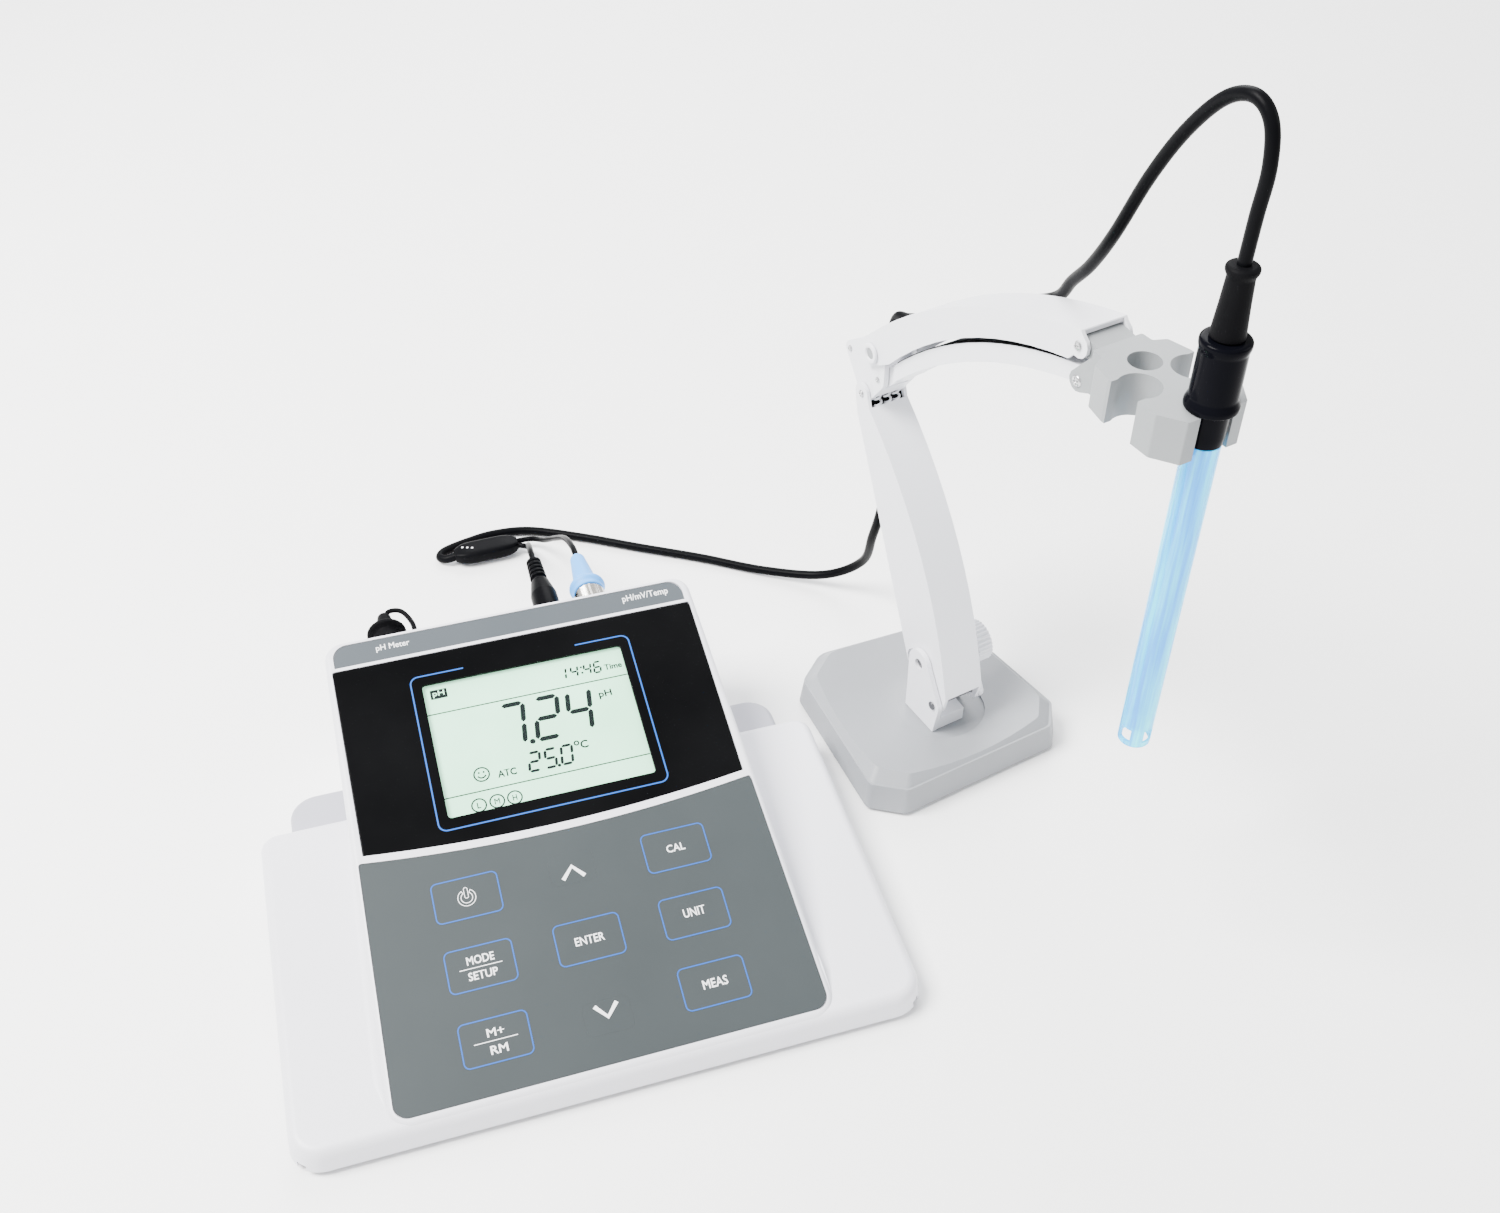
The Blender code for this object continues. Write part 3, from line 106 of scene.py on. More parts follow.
def noise(tree, scale, detail=3.0, roughness=0.5, stretch=None):
    source = tree.nodes.new("ShaderNodeTexCoord").outputs["Object"]
    texture = fill(tree.nodes.new("ShaderNodeTexNoise"), Scale=scale, Detail=detail, Roughness=roughness)
    if stretch:
        mapping = fill(tree.nodes.new("ShaderNodeMapping"), Scale=stretch)
        tree.links.new(source, mapping.inputs["Vector"])
        source = mapping.outputs["Vector"]
    tree.links.new(source, texture.inputs["Vector"])
    return texture.outputs["Fac"]


def ranged(tree, value, low, high, start=0.3, end=0.7):
    limits = {"From_Min": start, "From_Max": end, "To_Min": low, "To_Max": high}
    remap = fill(tree.nodes.new("ShaderNodeMapRange"), **limits)
    tree.links.new(value, remap.inputs["Value"])
    return remap.outputs["Result"]


def blended(tree, factor, first, second):
    mix = tree.nodes.new("ShaderNodeMix")
    mix.data_type = "RGBA"
    fill(mix, A=(*first, 1.0), B=(*second, 1.0))
    tree.links.new(factor, mix.inputs["Factor"])
    return mix.outputs["Result"]


def surface(
    name, colour, rough, metallic=0.0, grain=1800.0, bump=0.12, vary=0.05, wear=0.06, stretch=None, sheen=0.5
):
    """A finish with fine grain in its relief, slow drifts of colour, and smudges in its gloss."""
    made, tree = new_material(name)
    shader = fill(tree.nodes["Principled BSDF"], Metallic=metallic, Specular_IOR_Level=sheen)
    drift = ranged(tree, noise(tree, 14.0, 4.0), 0.0, 1.0)
    lighter = tuple(min(1.0, channel * (1 + vary) + 0.002) for channel in colour)
    darker = tuple(channel * (1 - vary) for channel in colour)
    tint = blended(tree, drift, darker, lighter)
    tree.links.new(tint, shader.inputs["Base Color"])
    smudge = noise(tree, 45.0, 5.0, 0.6, stretch)
    gloss = ranged(tree, smudge, max(0.02, rough - wear), min(1.0, rough + wear))
    tree.links.new(gloss, shader.inputs["Roughness"])
    relief = fill(tree.nodes.new("ShaderNodeBump"), Strength=bump, Distance=0.0002)
    tree.links.new(noise(tree, grain, 2.0, 0.5, stretch), relief.inputs["Height"])
    tree.links.new(relief.outputs["Normal"], shader.inputs["Normal"])
    return made


def lit(made, tree, tint, polish):
    """Gives a material its tint, as colour and as glow, and its polish. The glow is the display's backlight, and
    on the electrode's tubes a painted glow.
    """
    shader = tree.nodes["Principled BSDF"]
    tree.links.new(tint, shader.inputs["Base Color"])
    tree.links.new(tint, shader.inputs["Emission Color"])
    tree.links.new(polish, shader.inputs["Roughness"])
    return made


def clear(name, colour, roughness=0.04, transmission=0.9, alpha=1.0, glow=0.0, streak=None):
    """A clear plastic or glass whose tint and polish drift, in streaks along z if streak gives a colour. With a
    glow above zero, the tint and its streaks are also given out as light: a painted glow.
    """
    made, tree = new_material(name)
    shader = fill(tree.nodes["Principled BSDF"], Transmission_Weight=transmission, IOR=1.45, Alpha=alpha)
    # A glow above zero makes the piece give out its own tint: a painted glow.
    fill(shader, Emission_Strength=glow)
    if streak:
        drift = ranged(tree, noise(tree, 420.0, 3.0, 0.6, (1, 1, 0.035)), 0.0, 1.0, 0.4, 0.62)
    else:
        drift = ranged(tree, noise(tree, 30.0), 0.0, 1.0)
    tint = blended(tree, drift, colour, streak or tuple(channel * 0.93 for channel in colour))
    polish = ranged(tree, noise(tree, 120.0), roughness, roughness + 0.04)
    return lit(made, tree, tint, polish)


def display_green():
    """The lit display, whose tint and glow drift slowly between a deeper and a paler mint."""
    made, tree = new_material("display_green")
    fill(tree.nodes["Principled BSDF"], Emission_Strength=1.5)
    glow = ranged(tree, noise(tree, 22.0, 2.0), 0.0, 1.0)
    tint = blended(tree, glow, (0.36, 0.76, 0.49), (0.46, 0.88, 0.61))
    return lit(made, tree, tint, ranged(tree, noise(tree, 90.0), 0.18, 0.28))


CASE_WHITE = surface("case_white", (0.73, 0.73, 0.78), 0.40, grain=2600.0, bump=0.10, vary=0.015)
CASE_GREY = surface("case_lilac_grey", (0.36, 0.36, 0.41), 0.46, grain=2600.0, bump=0.12, vary=0.02)
FILM_GREY = surface(
    "film_grey", (0.038, 0.0455, 0.048), 0.46, grain=3200.0, bump=0.10, vary=0.035, sheen=0.12
)
STRIP_GREY = surface(
    "strip_grey", (0.063, 0.074, 0.084), 0.44, grain=3200.0, bump=0.08, vary=0.03, sheen=0.15
)
GLOSS_BLACK = surface(
    "gloss_black", (0.0012, 0.0013, 0.0016), 0.07, grain=900.0, bump=0.01, vary=0.2, wear=0.03, sheen=0.06
)
LINE_BLUE = surface("line_blue", (0.013, 0.090, 0.37), 0.45, bump=0.03, vary=0.04, sheen=0.2)
INK_WHITE = surface("ink_white", (0.86, 0.87, 0.88), 0.45, bump=0.03, vary=0.02)
INK_LCD = surface("display_ink", (0.006, 0.011, 0.011), 0.45, bump=0.02, vary=0.15, sheen=0.05)
LCD_GREEN = display_green()
GUIDE = surface("light_guide", (0.80, 0.84, 0.80), 0.35, vary=0.02)
BOARD = surface("board_green", (0.02, 0.15, 0.06), 0.42, grain=700.0, bump=0.3, vary=0.15)
# Black rubber; the same black also serves the plates and disc of painted shade at the elbow, on the lower bar and
# under the upper arm.
RUBBER_AND_SHADE = surface(
    "soft_rubber_and_painted_shade", (0.0022, 0.0022, 0.0028), 0.55, grain=1500.0, bump=0.25, vary=0.12, sheen=0.025
)
STEEL = surface("steel", (0.56, 0.56, 0.57), 0.28, 1.0, grain=900.0, bump=0.08, stretch=(1, 12, 1))
# A darker copy of the steel: painted shade for the tension bolt's end, recessed in its hole; the front pin takes
# it too.
STEEL_SHADED = surface("steel_painted_shade", (0.16, 0.16, 0.17), 0.36, 1.0, grain=900.0, bump=0.08)
NICKEL = surface("nickel", (0.66, 0.64, 0.60), 0.20, 1.0, grain=900.0, bump=0.05, vary=0.06)
BOOT_BLUE = surface("boot_blue", (0.07, 0.36, 0.90), 0.42, grain=1500.0, bump=0.10, vary=0.04, sheen=0.3)
CABLE = surface(
    "cable_black", (0.0016, 0.0017, 0.0023), 0.34, grain=1600.0, bump=0.16, vary=0.15, sheen=0.025
)
BAR_WHITE = surface("bar_white", (0.74, 0.745, 0.785), 0.36, grain=2200.0, bump=0.08, vary=0.015)
HOLDER_GREY = surface("holder_grey", (0.225, 0.237, 0.245), 0.50, grain=1900.0, bump=0.30, vary=0.02)
BASE_GREY = surface("base_grey", (0.235, 0.245, 0.262), 0.48, grain=1700.0, bump=0.34, vary=0.02)
CAP_BLACK = surface(
    "cap_black", (0.0010, 0.0011, 0.0024), 0.15, grain=700.0, bump=0.02, vary=0.15, sheen=0.02
)
# The electrode's tube and its reference tube give out their blue tint and lighter streaks: a painted glow, for
# neither is a lamp.
TUBE_BLUE = clear("tube_blue", (0.0, 0.42, 0.90), 0.05, 0.60, glow=0.45, streak=(0.05, 0.88, 1.0))
INNER_BLUE = clear("inner_blue", (0.0, 0.28, 0.80), 0.10, 0.30, glow=0.45, streak=(0.02, 0.62, 0.98))
BULB_GLASS = clear("bulb_glass", (0.93, 0.98, 1.0), 0.02, 0.95)
WINDOW_CLEAR = clear("window_clear", (0.02, 0.03, 0.025), 0.03, 0.0, alpha=0.04)
FLOOR = surface("floor_white", (0.975, 0.975, 0.975), 0.75, grain=300.0, bump=0.01, vary=0.005)


# ---- shape tools


def linked(name, data):
    """A new object in the scene."""
    made = bpy.data.objects.new(name, data)
    bpy.context.scene.collection.objects.link(made)
    return made


# The steepest fold that still counts as flat, and the gentlest edge that is shaded sharp
FLAT, SHARP = math.radians(0.5), math.radians(38)


def object_from(name, shape, material, matrix=None):
    """An object from a bmesh, with outward normals and smooth shading between its sharp edges."""
    bmesh.ops.recalc_face_normals(shape, faces=shape.faces)
    data = bpy.data.meshes.new(name)
    shape.to_mesh(data)
    shape.free()
    if matrix is not None:
        data.transform(matrix)
    data.shade_smooth()
    data.set_sharp_from_angle(angle=SHARP)
    if material:
        data.materials.append(material)
    return linked(name, data)


def bevelled(obj, width, segments=2, angle=35):
    modifier = obj.modifiers.new("edges", "BEVEL")
    modifier.width, modifier.segments = width, segments
    modifier.limit_method = "ANGLE"
    modifier.angle_limit = math.radians(angle)
    modifier.use_clamp_overlap = True
    normals = obj.modifiers.new("normals", "WEIGHTED_NORMAL")
    normals.keep_sharp = False
    return obj


def real_mesh(obj):
    """The mesh of an object as its modifiers leave it."""
    bpy.context.view_layer.update()
    return bpy.data.meshes.new_from_object(obj.evaluated_get(bpy.context.evaluated_depsgraph_get()))


def applied(obj):
    """The same object with its modifiers made real."""
    data = real_mesh(obj)
    obj.modifiers.clear()
    old = obj.data
    obj.data = data
    bpy.data.meshes.remove(old)
    return obj


def subtract(obj, *cutters):
    for cutter in cutters:
        modifier = obj.modifiers.new("cut", "BOOLEAN")
        modifier.operation = "DIFFERENCE"
        modifier.solver = "EXACT"
        modifier.object = cutter
    applied(obj)
    for cutter in cutters:
        bpy.data.objects.remove(cutter, do_unlink=True)
    clean = bmesh.new()
    clean.from_mesh(obj.data)
    cleaned(clean, 2e-6)
    clean.to_mesh(obj.data)
    clean.free()
    return obj


def arc(centre, radius, start, end, steps):
    angles = [math.radians(start + (end - start) * step / steps) for step in range(steps + 1)]
    return [(centre[0] + radius * math.cos(a), centre[1] + radius * math.sin(a)) for a in angles]


def disc(x, y, radius, steps, end=330):
    """A small round outline, whose last point is left open by a step."""
    return arc((x, y), radius, 0, end, steps)


def rounded(corners, radii, steps=8):
    """A polygon with each corner rounded to its radius."""
    outline = []
    for index, corner in enumerate(corners):
        here = Vector(corner)
        before = (Vector(corners[index - 1]) - here).normalized()
        after = (Vector(corners[(index + 1) % len(corners)]) - here).normalized()
        half = before.angle(after) / 2
        reach = radii[index] / math.tan(half)
        centre = here + (before + after).normalized() * radii[index] / math.sin(half)
        first = here + before * reach - centre
        turn = first.angle_signed(here + after * reach - centre)
        for step in range(steps + 1):
            swing = -turn * step / steps
            x = first.x * math.cos(swing) - first.y * math.sin(swing)
            y = first.x * math.sin(swing) + first.y * math.cos(swing)
            outline.append((centre.x + x, centre.y + y))
    return outline


def rounded_box(width, height, radius, centre=(0.0, 0.0), steps=6):
    x, y = width / 2, height / 2
    corners = [(-x, -y), (x, -y), (x, y), (-x, y)]
    return rounded([(centre[0] + u, centre[1] + v) for u, v in corners], [radius] * 4, steps)


def inset(outline, distance):
    """The outline moved inwards by a distance, point for point."""
    moved = []
    count = len(outline)
    for index in range(count):
        before, here = Vector(outline[index - 1]), Vector(outline[index])
        after = Vector(outline[(index + 1) % count])
        first, second = (here - before).normalized(), (after - here).normalized()
        inward = Vector((-first.y - second.y, first.x + second.x))
        if inward.length < 1e-9:
            inward = Vector((-first.y, first.x))
        inward.normalize()
        stretch = max(0.5, Vector((-first.y, first.x)).dot(inward))
        moved.append(tuple(here + inward * distance / stretch))
    return moved


def loft(name, rings, material, matrix=None, closed=False):
    """A skin over rings of equal length, capped at both ends."""
    shape = bmesh.new()
    layers = [[shape.verts.new(point) for point in ring] for ring in rings]
    pairs = list(zip(layers, layers[1:]))
    if closed:
        pairs.append((layers[-1], layers[0]))
    for low, high in pairs:
        for index in range(len(low)):
            after = (index + 1) % len(low)
            shape.faces.new((low[index], low[after], high[after], high[index]))
    if not closed:
        shape.faces.new(layers[0][::-1])
        shape.faces.new(layers[-1])
    return object_from(name, shape, material, matrix)


def shape_of(curve):
    """The faces of a curve or of letters, ready to edit."""
    helper = linked(curve.name + "_curve", curve)
    data = real_mesh(helper)
    bpy.data.objects.remove(helper, do_unlink=True)
    shape = bmesh.new()
    shape.from_mesh(data)
    return shape


def cleaned(shape, distance):
    """Merges points that lie together and clears edges inside flat faces."""
    bmesh.ops.remove_doubles(shape, verts=shape.verts, dist=distance)
    bmesh.ops.dissolve_limit(shape, angle_limit=FLAT, verts=shape.verts, edges=shape.edges)


def plate(name, loops, low, high, material, matrix=PANEL):
    """A flat plate of an outline, with any further loops as holes."""
    curve = bpy.data.curves.new(name, "CURVE")
    curve.dimensions = "2D"
    curve.fill_mode = "BOTH"
    curve.extrude = (high - low) / 2
    for outline in loops:
        spline = curve.splines.new("POLY")
        spline.points.add(len(outline) - 1)
        for point, place in zip(spline.points, outline):
            point.co = (place[0], place[1], 0.0, 1.0)
        spline.use_cyclic_u = True
    shape = shape_of(curve)
    bmesh.ops.translate(shape, verts=shape.verts, vec=(0, 0, (low + high) / 2))
    cleaned(shape, 1e-6)
    return object_from(name, shape, material, matrix)


def turned(name, profile, material, matrix=None, segments=64):
    """A solid of revolution about z from (radius, height) points, top first."""
    shape = bmesh.new()
    points = [shape.verts.new((radius, 0.0, height)) for radius, height in profile]
    edges = [shape.edges.new(pair) for pair in zip(points, points[1:])]
    origin, upwards = (0, 0, 0), (0, 0, 1)
    bmesh.ops.spin(
        shape, geom=points + edges, cent=origin, axis=upwards, angle=math.tau, steps=segments, use_merge=True
    )
    bmesh.ops.remove_doubles(shape, verts=shape.verts, dist=1e-6)
    return object_from(name, shape, material, matrix)


def soft_profile(points, radius, steps=3):
    """A profile with its corners rounded, for turned pieces."""
    result = [points[0]]
    for before, here, after in zip(points, points[1:], points[2:]):
        before, here, after = Vector(before), Vector(here), Vector(after)
        first, second = before - here, after - here
        reach = min(radius, first.length * 0.45, second.length * 0.45)
        if reach < 1e-6 or abs(first.normalized().dot(second.normalized())) > 0.999:
            result.append(tuple(here))
            continue
        start = here + first.normalized() * reach
        end = here + second.normalized() * reach
        for step in range(steps + 1):
            t = step / steps
            result.append(tuple(start * (1 - t) ** 2 + here * 2 * t * (1 - t) + end * t**2))
    result.append(points[-1])
    return result


def smooth_path(knots, steps):
    """Points on a smooth curve that passes through every knot."""
    knots = [Vector(knot) for knot in knots]
    knots = [2 * knots[0] - knots[1], *knots, 2 * knots[-1] - knots[-2]]
    path = []
    for before, start, end, after in zip(knots, knots[1:], knots[2:], knots[3:]):
        for step in range(steps):
            t = step / steps
            bend = 2 * before - 5 * start + 4 * end - after
            twist = 3 * start - before - 3 * end + after
            path.append(0.5 * (2 * start + (end - before) * t + bend * t**2 + twist * t**3))
    path.append(knots[-2])
    return path


def tube(name, path, radius, material, sides=20, closed=False):
    """A round cord along a path, whose rings don't twist."""
    path = [Vector(point) for point in path]
    rings = []
    side = None
    for index, point in enumerate(path):
        if closed:
            along = path[(index + 1) % len(path)] - path[index - 1]
        else:
            along = path[min(index + 1, len(path) - 1)] - path[max(index - 1, 0)]
        along.normalize()
        if side is None:
            side = along.orthogonal()
        side = (side - along * side.dot(along)).normalized()
        other = along.cross(side)
        width = radius[index] if isinstance(radius, (list, tuple)) else radius
        rings.append(
            [
                point + (side * math.cos(a) + other * math.sin(a)) * width
                for a in (math.tau * step / sides for step in range(sides))
            ]
        )
    return loft(name, rings, material, closed=closed)


def ribbon(name, path, width, low, high, material, closed=True):
    """A thin strip of constant width along a flat path."""
    count = len(path)
    left, right = [], []
    for index, point in enumerate(path):
        here = Vector(point)
        before = Vector(path[index - 1]) if closed or index else here
        after = Vector(path[(index + 1) % count]) if closed or index < count - 1 else here
        along = (after - before).normalized()
        side = Vector((-along.y, along.x)) * width / 2
        left.append(here + side)
        right.append(here - side)
    rings = []
    for a, b in zip(left, right):
        rings.append([(a.x, a.y, low), (a.x, a.y, high), (b.x, b.y, high), (b.x, b.y, low)])
    return loft(name, rings, material, PANEL, closed=closed)


def embolden(shape, width):
    """Moves the edges of flat letters outwards."""
    moves = {}
    for vertex in shape.verts:
        outward = Vector((0, 0, 0))
        sides = []
        for edge in vertex.link_edges:
            if edge.is_boundary:
                side = (edge.verts[0].co - edge.verts[1].co).cross(Vector((0, 0, 1))).normalized()
                middle = (edge.verts[0].co + edge.verts[1].co) / 2
                inside = edge.link_faces[0].calc_center_median() - middle
                sides.append(-side if side.dot(inside) > 0 else side)
                outward += sides[-1]
        if outward.length > 0.2:
            outward.normalize()
            moves[vertex] = outward * width / max(0.7, outward.dot(sides[0]))
    for vertex, move in moves.items():
        vertex.co += move


def lettering(name, text, box, low, high, material, bold=0.012):
    """Plain letters stretched to fill a box given as (left, bottom, right, top)."""
    curve = bpy.data.curves.new(name, "FONT")
    curve.body = text
    curve.resolution_u = 3
    shape = shape_of(curve)
    embolden(shape, bold)
    xs = [vertex.co.x for vertex in shape.verts]
    ys = [vertex.co.y for vertex in shape.verts]
    left, bottom, right, top = box
    across = (right - left) / (max(xs) - min(xs))
    up = (top - bottom) / (max(ys) - min(ys))
    for vertex in shape.verts:
        x = left + (vertex.co.x - min(xs)) * across
        y = bottom + (vertex.co.y - min(ys)) * up
        vertex.co = (x, y, low)
    grown = bmesh.ops.extrude_face_region(shape, geom=list(shape.faces))
    raised = [item for item in grown["geom"] if isinstance(item, bmesh.types.BMVert)]
    bmesh.ops.translate(shape, verts=raised, vec=(0, 0, high - low))
    return object_from(name, shape, material, PANEL)


def joined(name, pieces):
    """Several pieces as one object, keeping each one's material."""
    first = pieces[0]
    shape = bmesh.new()
    materials = []
    for piece in pieces:
        start = len(shape.faces)
        shape.from_mesh(piece.data)
        shape.faces.ensure_lookup_table()
        index = []
        for material in piece.data.materials:
            if material not in materials:
                materials.append(material)
            index.append(materials.index(material))
        for face in shape.faces[start:]:
            face.material_index = index[min(face.material_index, len(index) - 1)]
    data = bpy.data.meshes.new(name)
    shape.to_mesh(data)
    shape.free()
    for material in materials:
        data.materials.append(material)
    for piece in pieces[1:]:
        bpy.data.objects.remove(piece, do_unlink=True)
    first.data = data
    first.name = name
    return first


def put(obj, body, slot, *nodes):
    """Hangs a finished piece on its body, as the stand-in for some CAD nodes."""
    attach(obj, body)
    if nodes:
        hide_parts(*nodes)
    return obj


def lathe(name, profile, soft, material, place, body, slot, node, segments=64, steps=3):
    """A turned piece with softened corners, hung on its body in place of a CAD node."""
    piece = turned(name, soft_profile(profile, soft, steps), material, place, segments)
    return put(piece, body, slot, node)


def carried(node, material, width=0.0004, segments=3, angle=32):
    """A CAD node shown as it is, with its corners eased and its own finish."""
    obj = frame["nodes"][node]
    obj.data.materials.clear()
    obj.data.materials.append(material)
    obj.data.shade_smooth()
    weld = obj.modifiers.new("weld", "WELD")
    weld.merge_threshold = 0.00001
    flat = obj.modifiers.new("flat", "DECIMATE")
    flat.decimate_type = "DISSOLVE"
    flat.angle_limit = math.radians(0.8)
    if width:
        bevelled(obj, width, segments, angle)
    return obj


# ---- meter case


def slab_outline():
    corners = points(-85.2, -112.5, 85.2, -112.5, 80.7, 90.5, -80.7, 90.5)
    return rounded(corners, [0.0095, 0.0095, 0.0085, 0.0085], 10)


def wing_outline():
    corners = points(-120.5, -114, 120.5, -114, 120.5, 35, -120.5, 35)
    return rounded(corners, [0.013, 0.013, 0.008, 0.008], 10)


def face_z(y):
    return FACE_HEIGHT + y * math.tan(SLOPE)


def wing_z(y):
    return 0.0118 + (y + 0.114) / 0.149 * 0.0092


def shell_rings(outline, top_of, radius, bottom=0.0015, draft=0.0008):
    """Rings of a moulded block: a small break at the foot, drafted sides, a rounded top edge."""
    rings = []
    for depth, height in ((0.0006, bottom), (0.0, bottom + 0.0008)):
        rings.append([(x, y, height) for x, y in inset(outline, depth)])
    for step in range(7):
        angle = math.radians(90 * step / 6)
        depth = draft + radius * (1 - math.cos(angle))
        drop = radius * (1 - math.sin(angle))
        rings.append([(x, y, top_of(y) - drop) for x, y in inset(outline, depth)])
    return rings


def floor_cutter(name):
    """The hollow under the case that takes the bottom plate."""
    low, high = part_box("bottom_plate")
    low, high = low - CENTRE, high - CENTRE
    wide, mid, narrow = high.x + 0.0004, 0.1053, 0.0780
    half = [(wide, low.y - 0.0004), (wide, 0.0323), (mid, 0.0323), (mid, 0.0543), (narrow, 0.0543)]
    half += [(narrow, high.y + 0.0004)]
    outline = half + [(-x, y) for x, y in reversed(half)]
    return plate(name, [outline], -0.01, 0.0046, None, Matrix.Translation(CENTRE))


def window_outline(grow=0.0):
    half, low, high = 0.0776 + grow, -0.0077 - grow, 0.0781 + grow
    bottom = [(-half + 2 * half * t / 24, low - 0.0048 * 4 * t / 24 * (1 - t / 24)) for t in range(25)]
    return bottom + arc((half - 0.001, high - 0.001), 0.001, 0, 90, 3) + arc(
        (-half + 0.001, high - 0.001), 0.001, 90, 180, 3
    )


def pad_outline(grow=0.0):
    low, top, bottom = -0.1124 - grow, 0.0799 + grow, 0.0818 + grow
    high = -0.0112 + grow
    outline = arc((-bottom + 0.0055, low + 0.0055), 0.0055, 180, 270, 8)
    outline += arc((bottom - 0.0055, low + 0.0055), 0.0055, 270, 360, 8)
    outline += arc((top - 0.0012, high - 0.0012), 0.0012, 0, 90, 3)[:-1]
    for step in range(25):
        t = step / 24
        x = (top - 0.0012) * (1 - 2 * t)
        outline.append((x, high - 0.0051 * 4 * t * (1 - t)))
    return outline + arc((-top + 0.0012, high - 0.0012), 0.0012, 90, 180, 3)[1:]


def strip_outline(grow=0.0):
    low, high, half = 0.0802 - grow, 0.0905 + grow, 0.0762 + grow
    outline = [(-half, low), (half, low)]
    outline += arc((half - 0.0062, high - 0.0062), 0.0062, 0, 90, 8)
    return outline + arc((-half + 0.0062, high - 0.0062), 0.0062, 90, 180, 8)


def lcd_outline(grow=0.0):
    return rounded_box(0.0854 + 2 * grow, 0.0634 + 2 * grow, 0.0014 + max(grow, 0), (0, 0.0317), 5)


def round_hole(name, x, z, radius, depth):
    """A cutter into the back wall."""
    turn = Matrix.Translation(CENTRE + Vector((x, BACK, z))) @ Matrix.Rotation(math.radians(90), 4, "X")
    return turned(name, [(0, depth), (radius, depth), (radius, -0.01), (0, -0.01)], None, turn, 40)


def case():
    place = Matrix.Translation(CENTRE)
    slab = loft("case_slab", shell_rings(slab_outline(), face_z, 0.0024), CASE_WHITE, place)
    gap = 0.0003
    cutters = [
        plate("window_cut", [window_outline(gap)], -0.0017, 0.01, None),
        plate("pad_cut", [pad_outline(gap)], FILM_FOOT, 0.01, None),
        plate("strip_cut", [strip_outline(gap)], STRIP_FOOT, 0.01, None),
        plate("lcd_cut", [lcd_outline(0.0016)], -0.0060, 0.01, None),
        floor_cutter("slab_floor"),
        round_hole("bnc_cut", BNC_X, SOCKET_Z, 0.0063, 0.009),
        round_hole("temperature_cut", TEMPERATURE_X, SOCKET_Z, 0.0050, 0.0085),
        round_hole("covered_cut", COVERED_X, SOCKET_Z, 0.0050, 0.0085),
        round_hole("power_cut", -0.040, 0.0162, 0.0042, 0.0090),
    ]
    bevelled(subtract(slab, *cutters), 0.00028, 2, 50)
    put(slab, BASE, "white_case", "upper_case")
    deck = rounded(points(-108, 0, 108, 0, 108, 57, -108, 57), [0.004, 0.004, 0.012, 0.012], 8)
    for name, outline, top_of, radius, colour in (
        ("case_wings", wing_outline(), wing_z, 0.0042, CASE_WHITE),
        ("case_rear_deck", deck, lambda y: 0.0152, 0.0026, CASE_GREY),
    ):
        block = loft(name, shell_rings(outline, top_of, radius), colour, place)
        bevelled(subtract(block, floor_cutter(name + "_floor")), 0.0002, 1, 60)
        put(block, BASE, "white_case")
    for side, name in ((-1, "case_left_fillet"), (1, "case_right_fillet")):
        put(loft(name, fillet_rings(side), CASE_WHITE, place), BASE, "white_case")


def fillet_rings(side):
    """Rings of the soft corner between the slab's side wall and a wing, thin at both ends."""
    rings = []
    for step in range(41):
        t = step / 40
        y = -0.1030 + 0.1370 * t
        size = 0.0034 * min(1.0, 12 * t, 12 * (1 - t)) + 0.0001
        wall = 0.0852 - (y + 0.1125) / 0.203 * 0.0045 - 0.0006
        base = wing_z(y)
        ring = [(side * (wall - 0.002), y, base - 0.0015), (side * (wall + size), y, base - 0.0015)]
        for turn in range(7):
            angle = math.radians(90 * turn / 6)
            x = wall + size * (1 - math.sin(angle))
            ring.append((side * x, y, base + size * (1 - math.cos(angle)) + 0.00005))
        ring.append((side * (wall - 0.002), y, base + size))
        rings.append(ring)
    return rings


# Heights over the sloped face, whose own surface is at zero
STRIP_FOOT, STRIP_TOP = -0.0009, -0.00025
FILM_FOOT, FILM_TOP = -0.0013, -0.00020
KEY_TOP = -0.00019
LCD_TOP = -0.0022
INK = 0.00006


def front_panel():
    strip = plate("header_film", [strip_outline()], STRIP_FOOT, STRIP_TOP, STRIP_GREY)
    prints = [strip]
    for name, word, box in (
        ("strip_left", "pH Meter", mm(-58.3, 83.9, -44.1, 87.7)),
        ("strip_right", "pH/mV/Temp", mm(49.5, 83.7, 70.2, 88.0)),
    ):
        prints.append(lettering(name, word, box, STRIP_TOP, -0.0002, INK_WHITE))
    put(joined("header_strip_printed", prints), BASE, "strip_grey", "header_strip")
    window = plate("window_frame", [window_outline(), lcd_outline()], -0.0016, -0.0001, GLOSS_BLACK)
    put(bevelled(window, 0.00022, 2, 50), BASE, "black_gloss", "display_window")
    cover = plate("window_cover", [lcd_outline(-0.00005)], -0.0010, -0.0006, WINDOW_CLEAR)
    put(cover, BASE, "black_gloss")
    half, low, high, r = 0.0471, -0.0052, 0.0678, 0.0034
    line = [(-0.0244, high)] + arc((-half + r, high - r), r, 90, 180, 8)
    line += arc((-half + r, low + r), r, 180, 270, 8) + arc((half - r, low + r), r, 270, 360, 8)
    line += arc((half - r, high - r), r, 0, 90, 8) + [(0.0240, high)]
    frame_line = ribbon("window_line", line, 0.00062, -0.00011, -0.00004, LINE_BLUE, closed=False)
    put(frame_line, BASE, "black_gloss")
    holes = [key_outline(key, 0.00002) for key in KEYS]
    film = plate("keypad_film", [pad_outline(), *holes], FILM_FOOT, FILM_TOP, FILM_GREY)
    put(film, BASE, "grey_film", "keypad_overlay")
    under = plate("keypad_spacer", [pad_outline(-0.0006)], -0.00135, -0.00125, RUBBER_AND_SHADE)
    put(under, BASE, "grey_film")


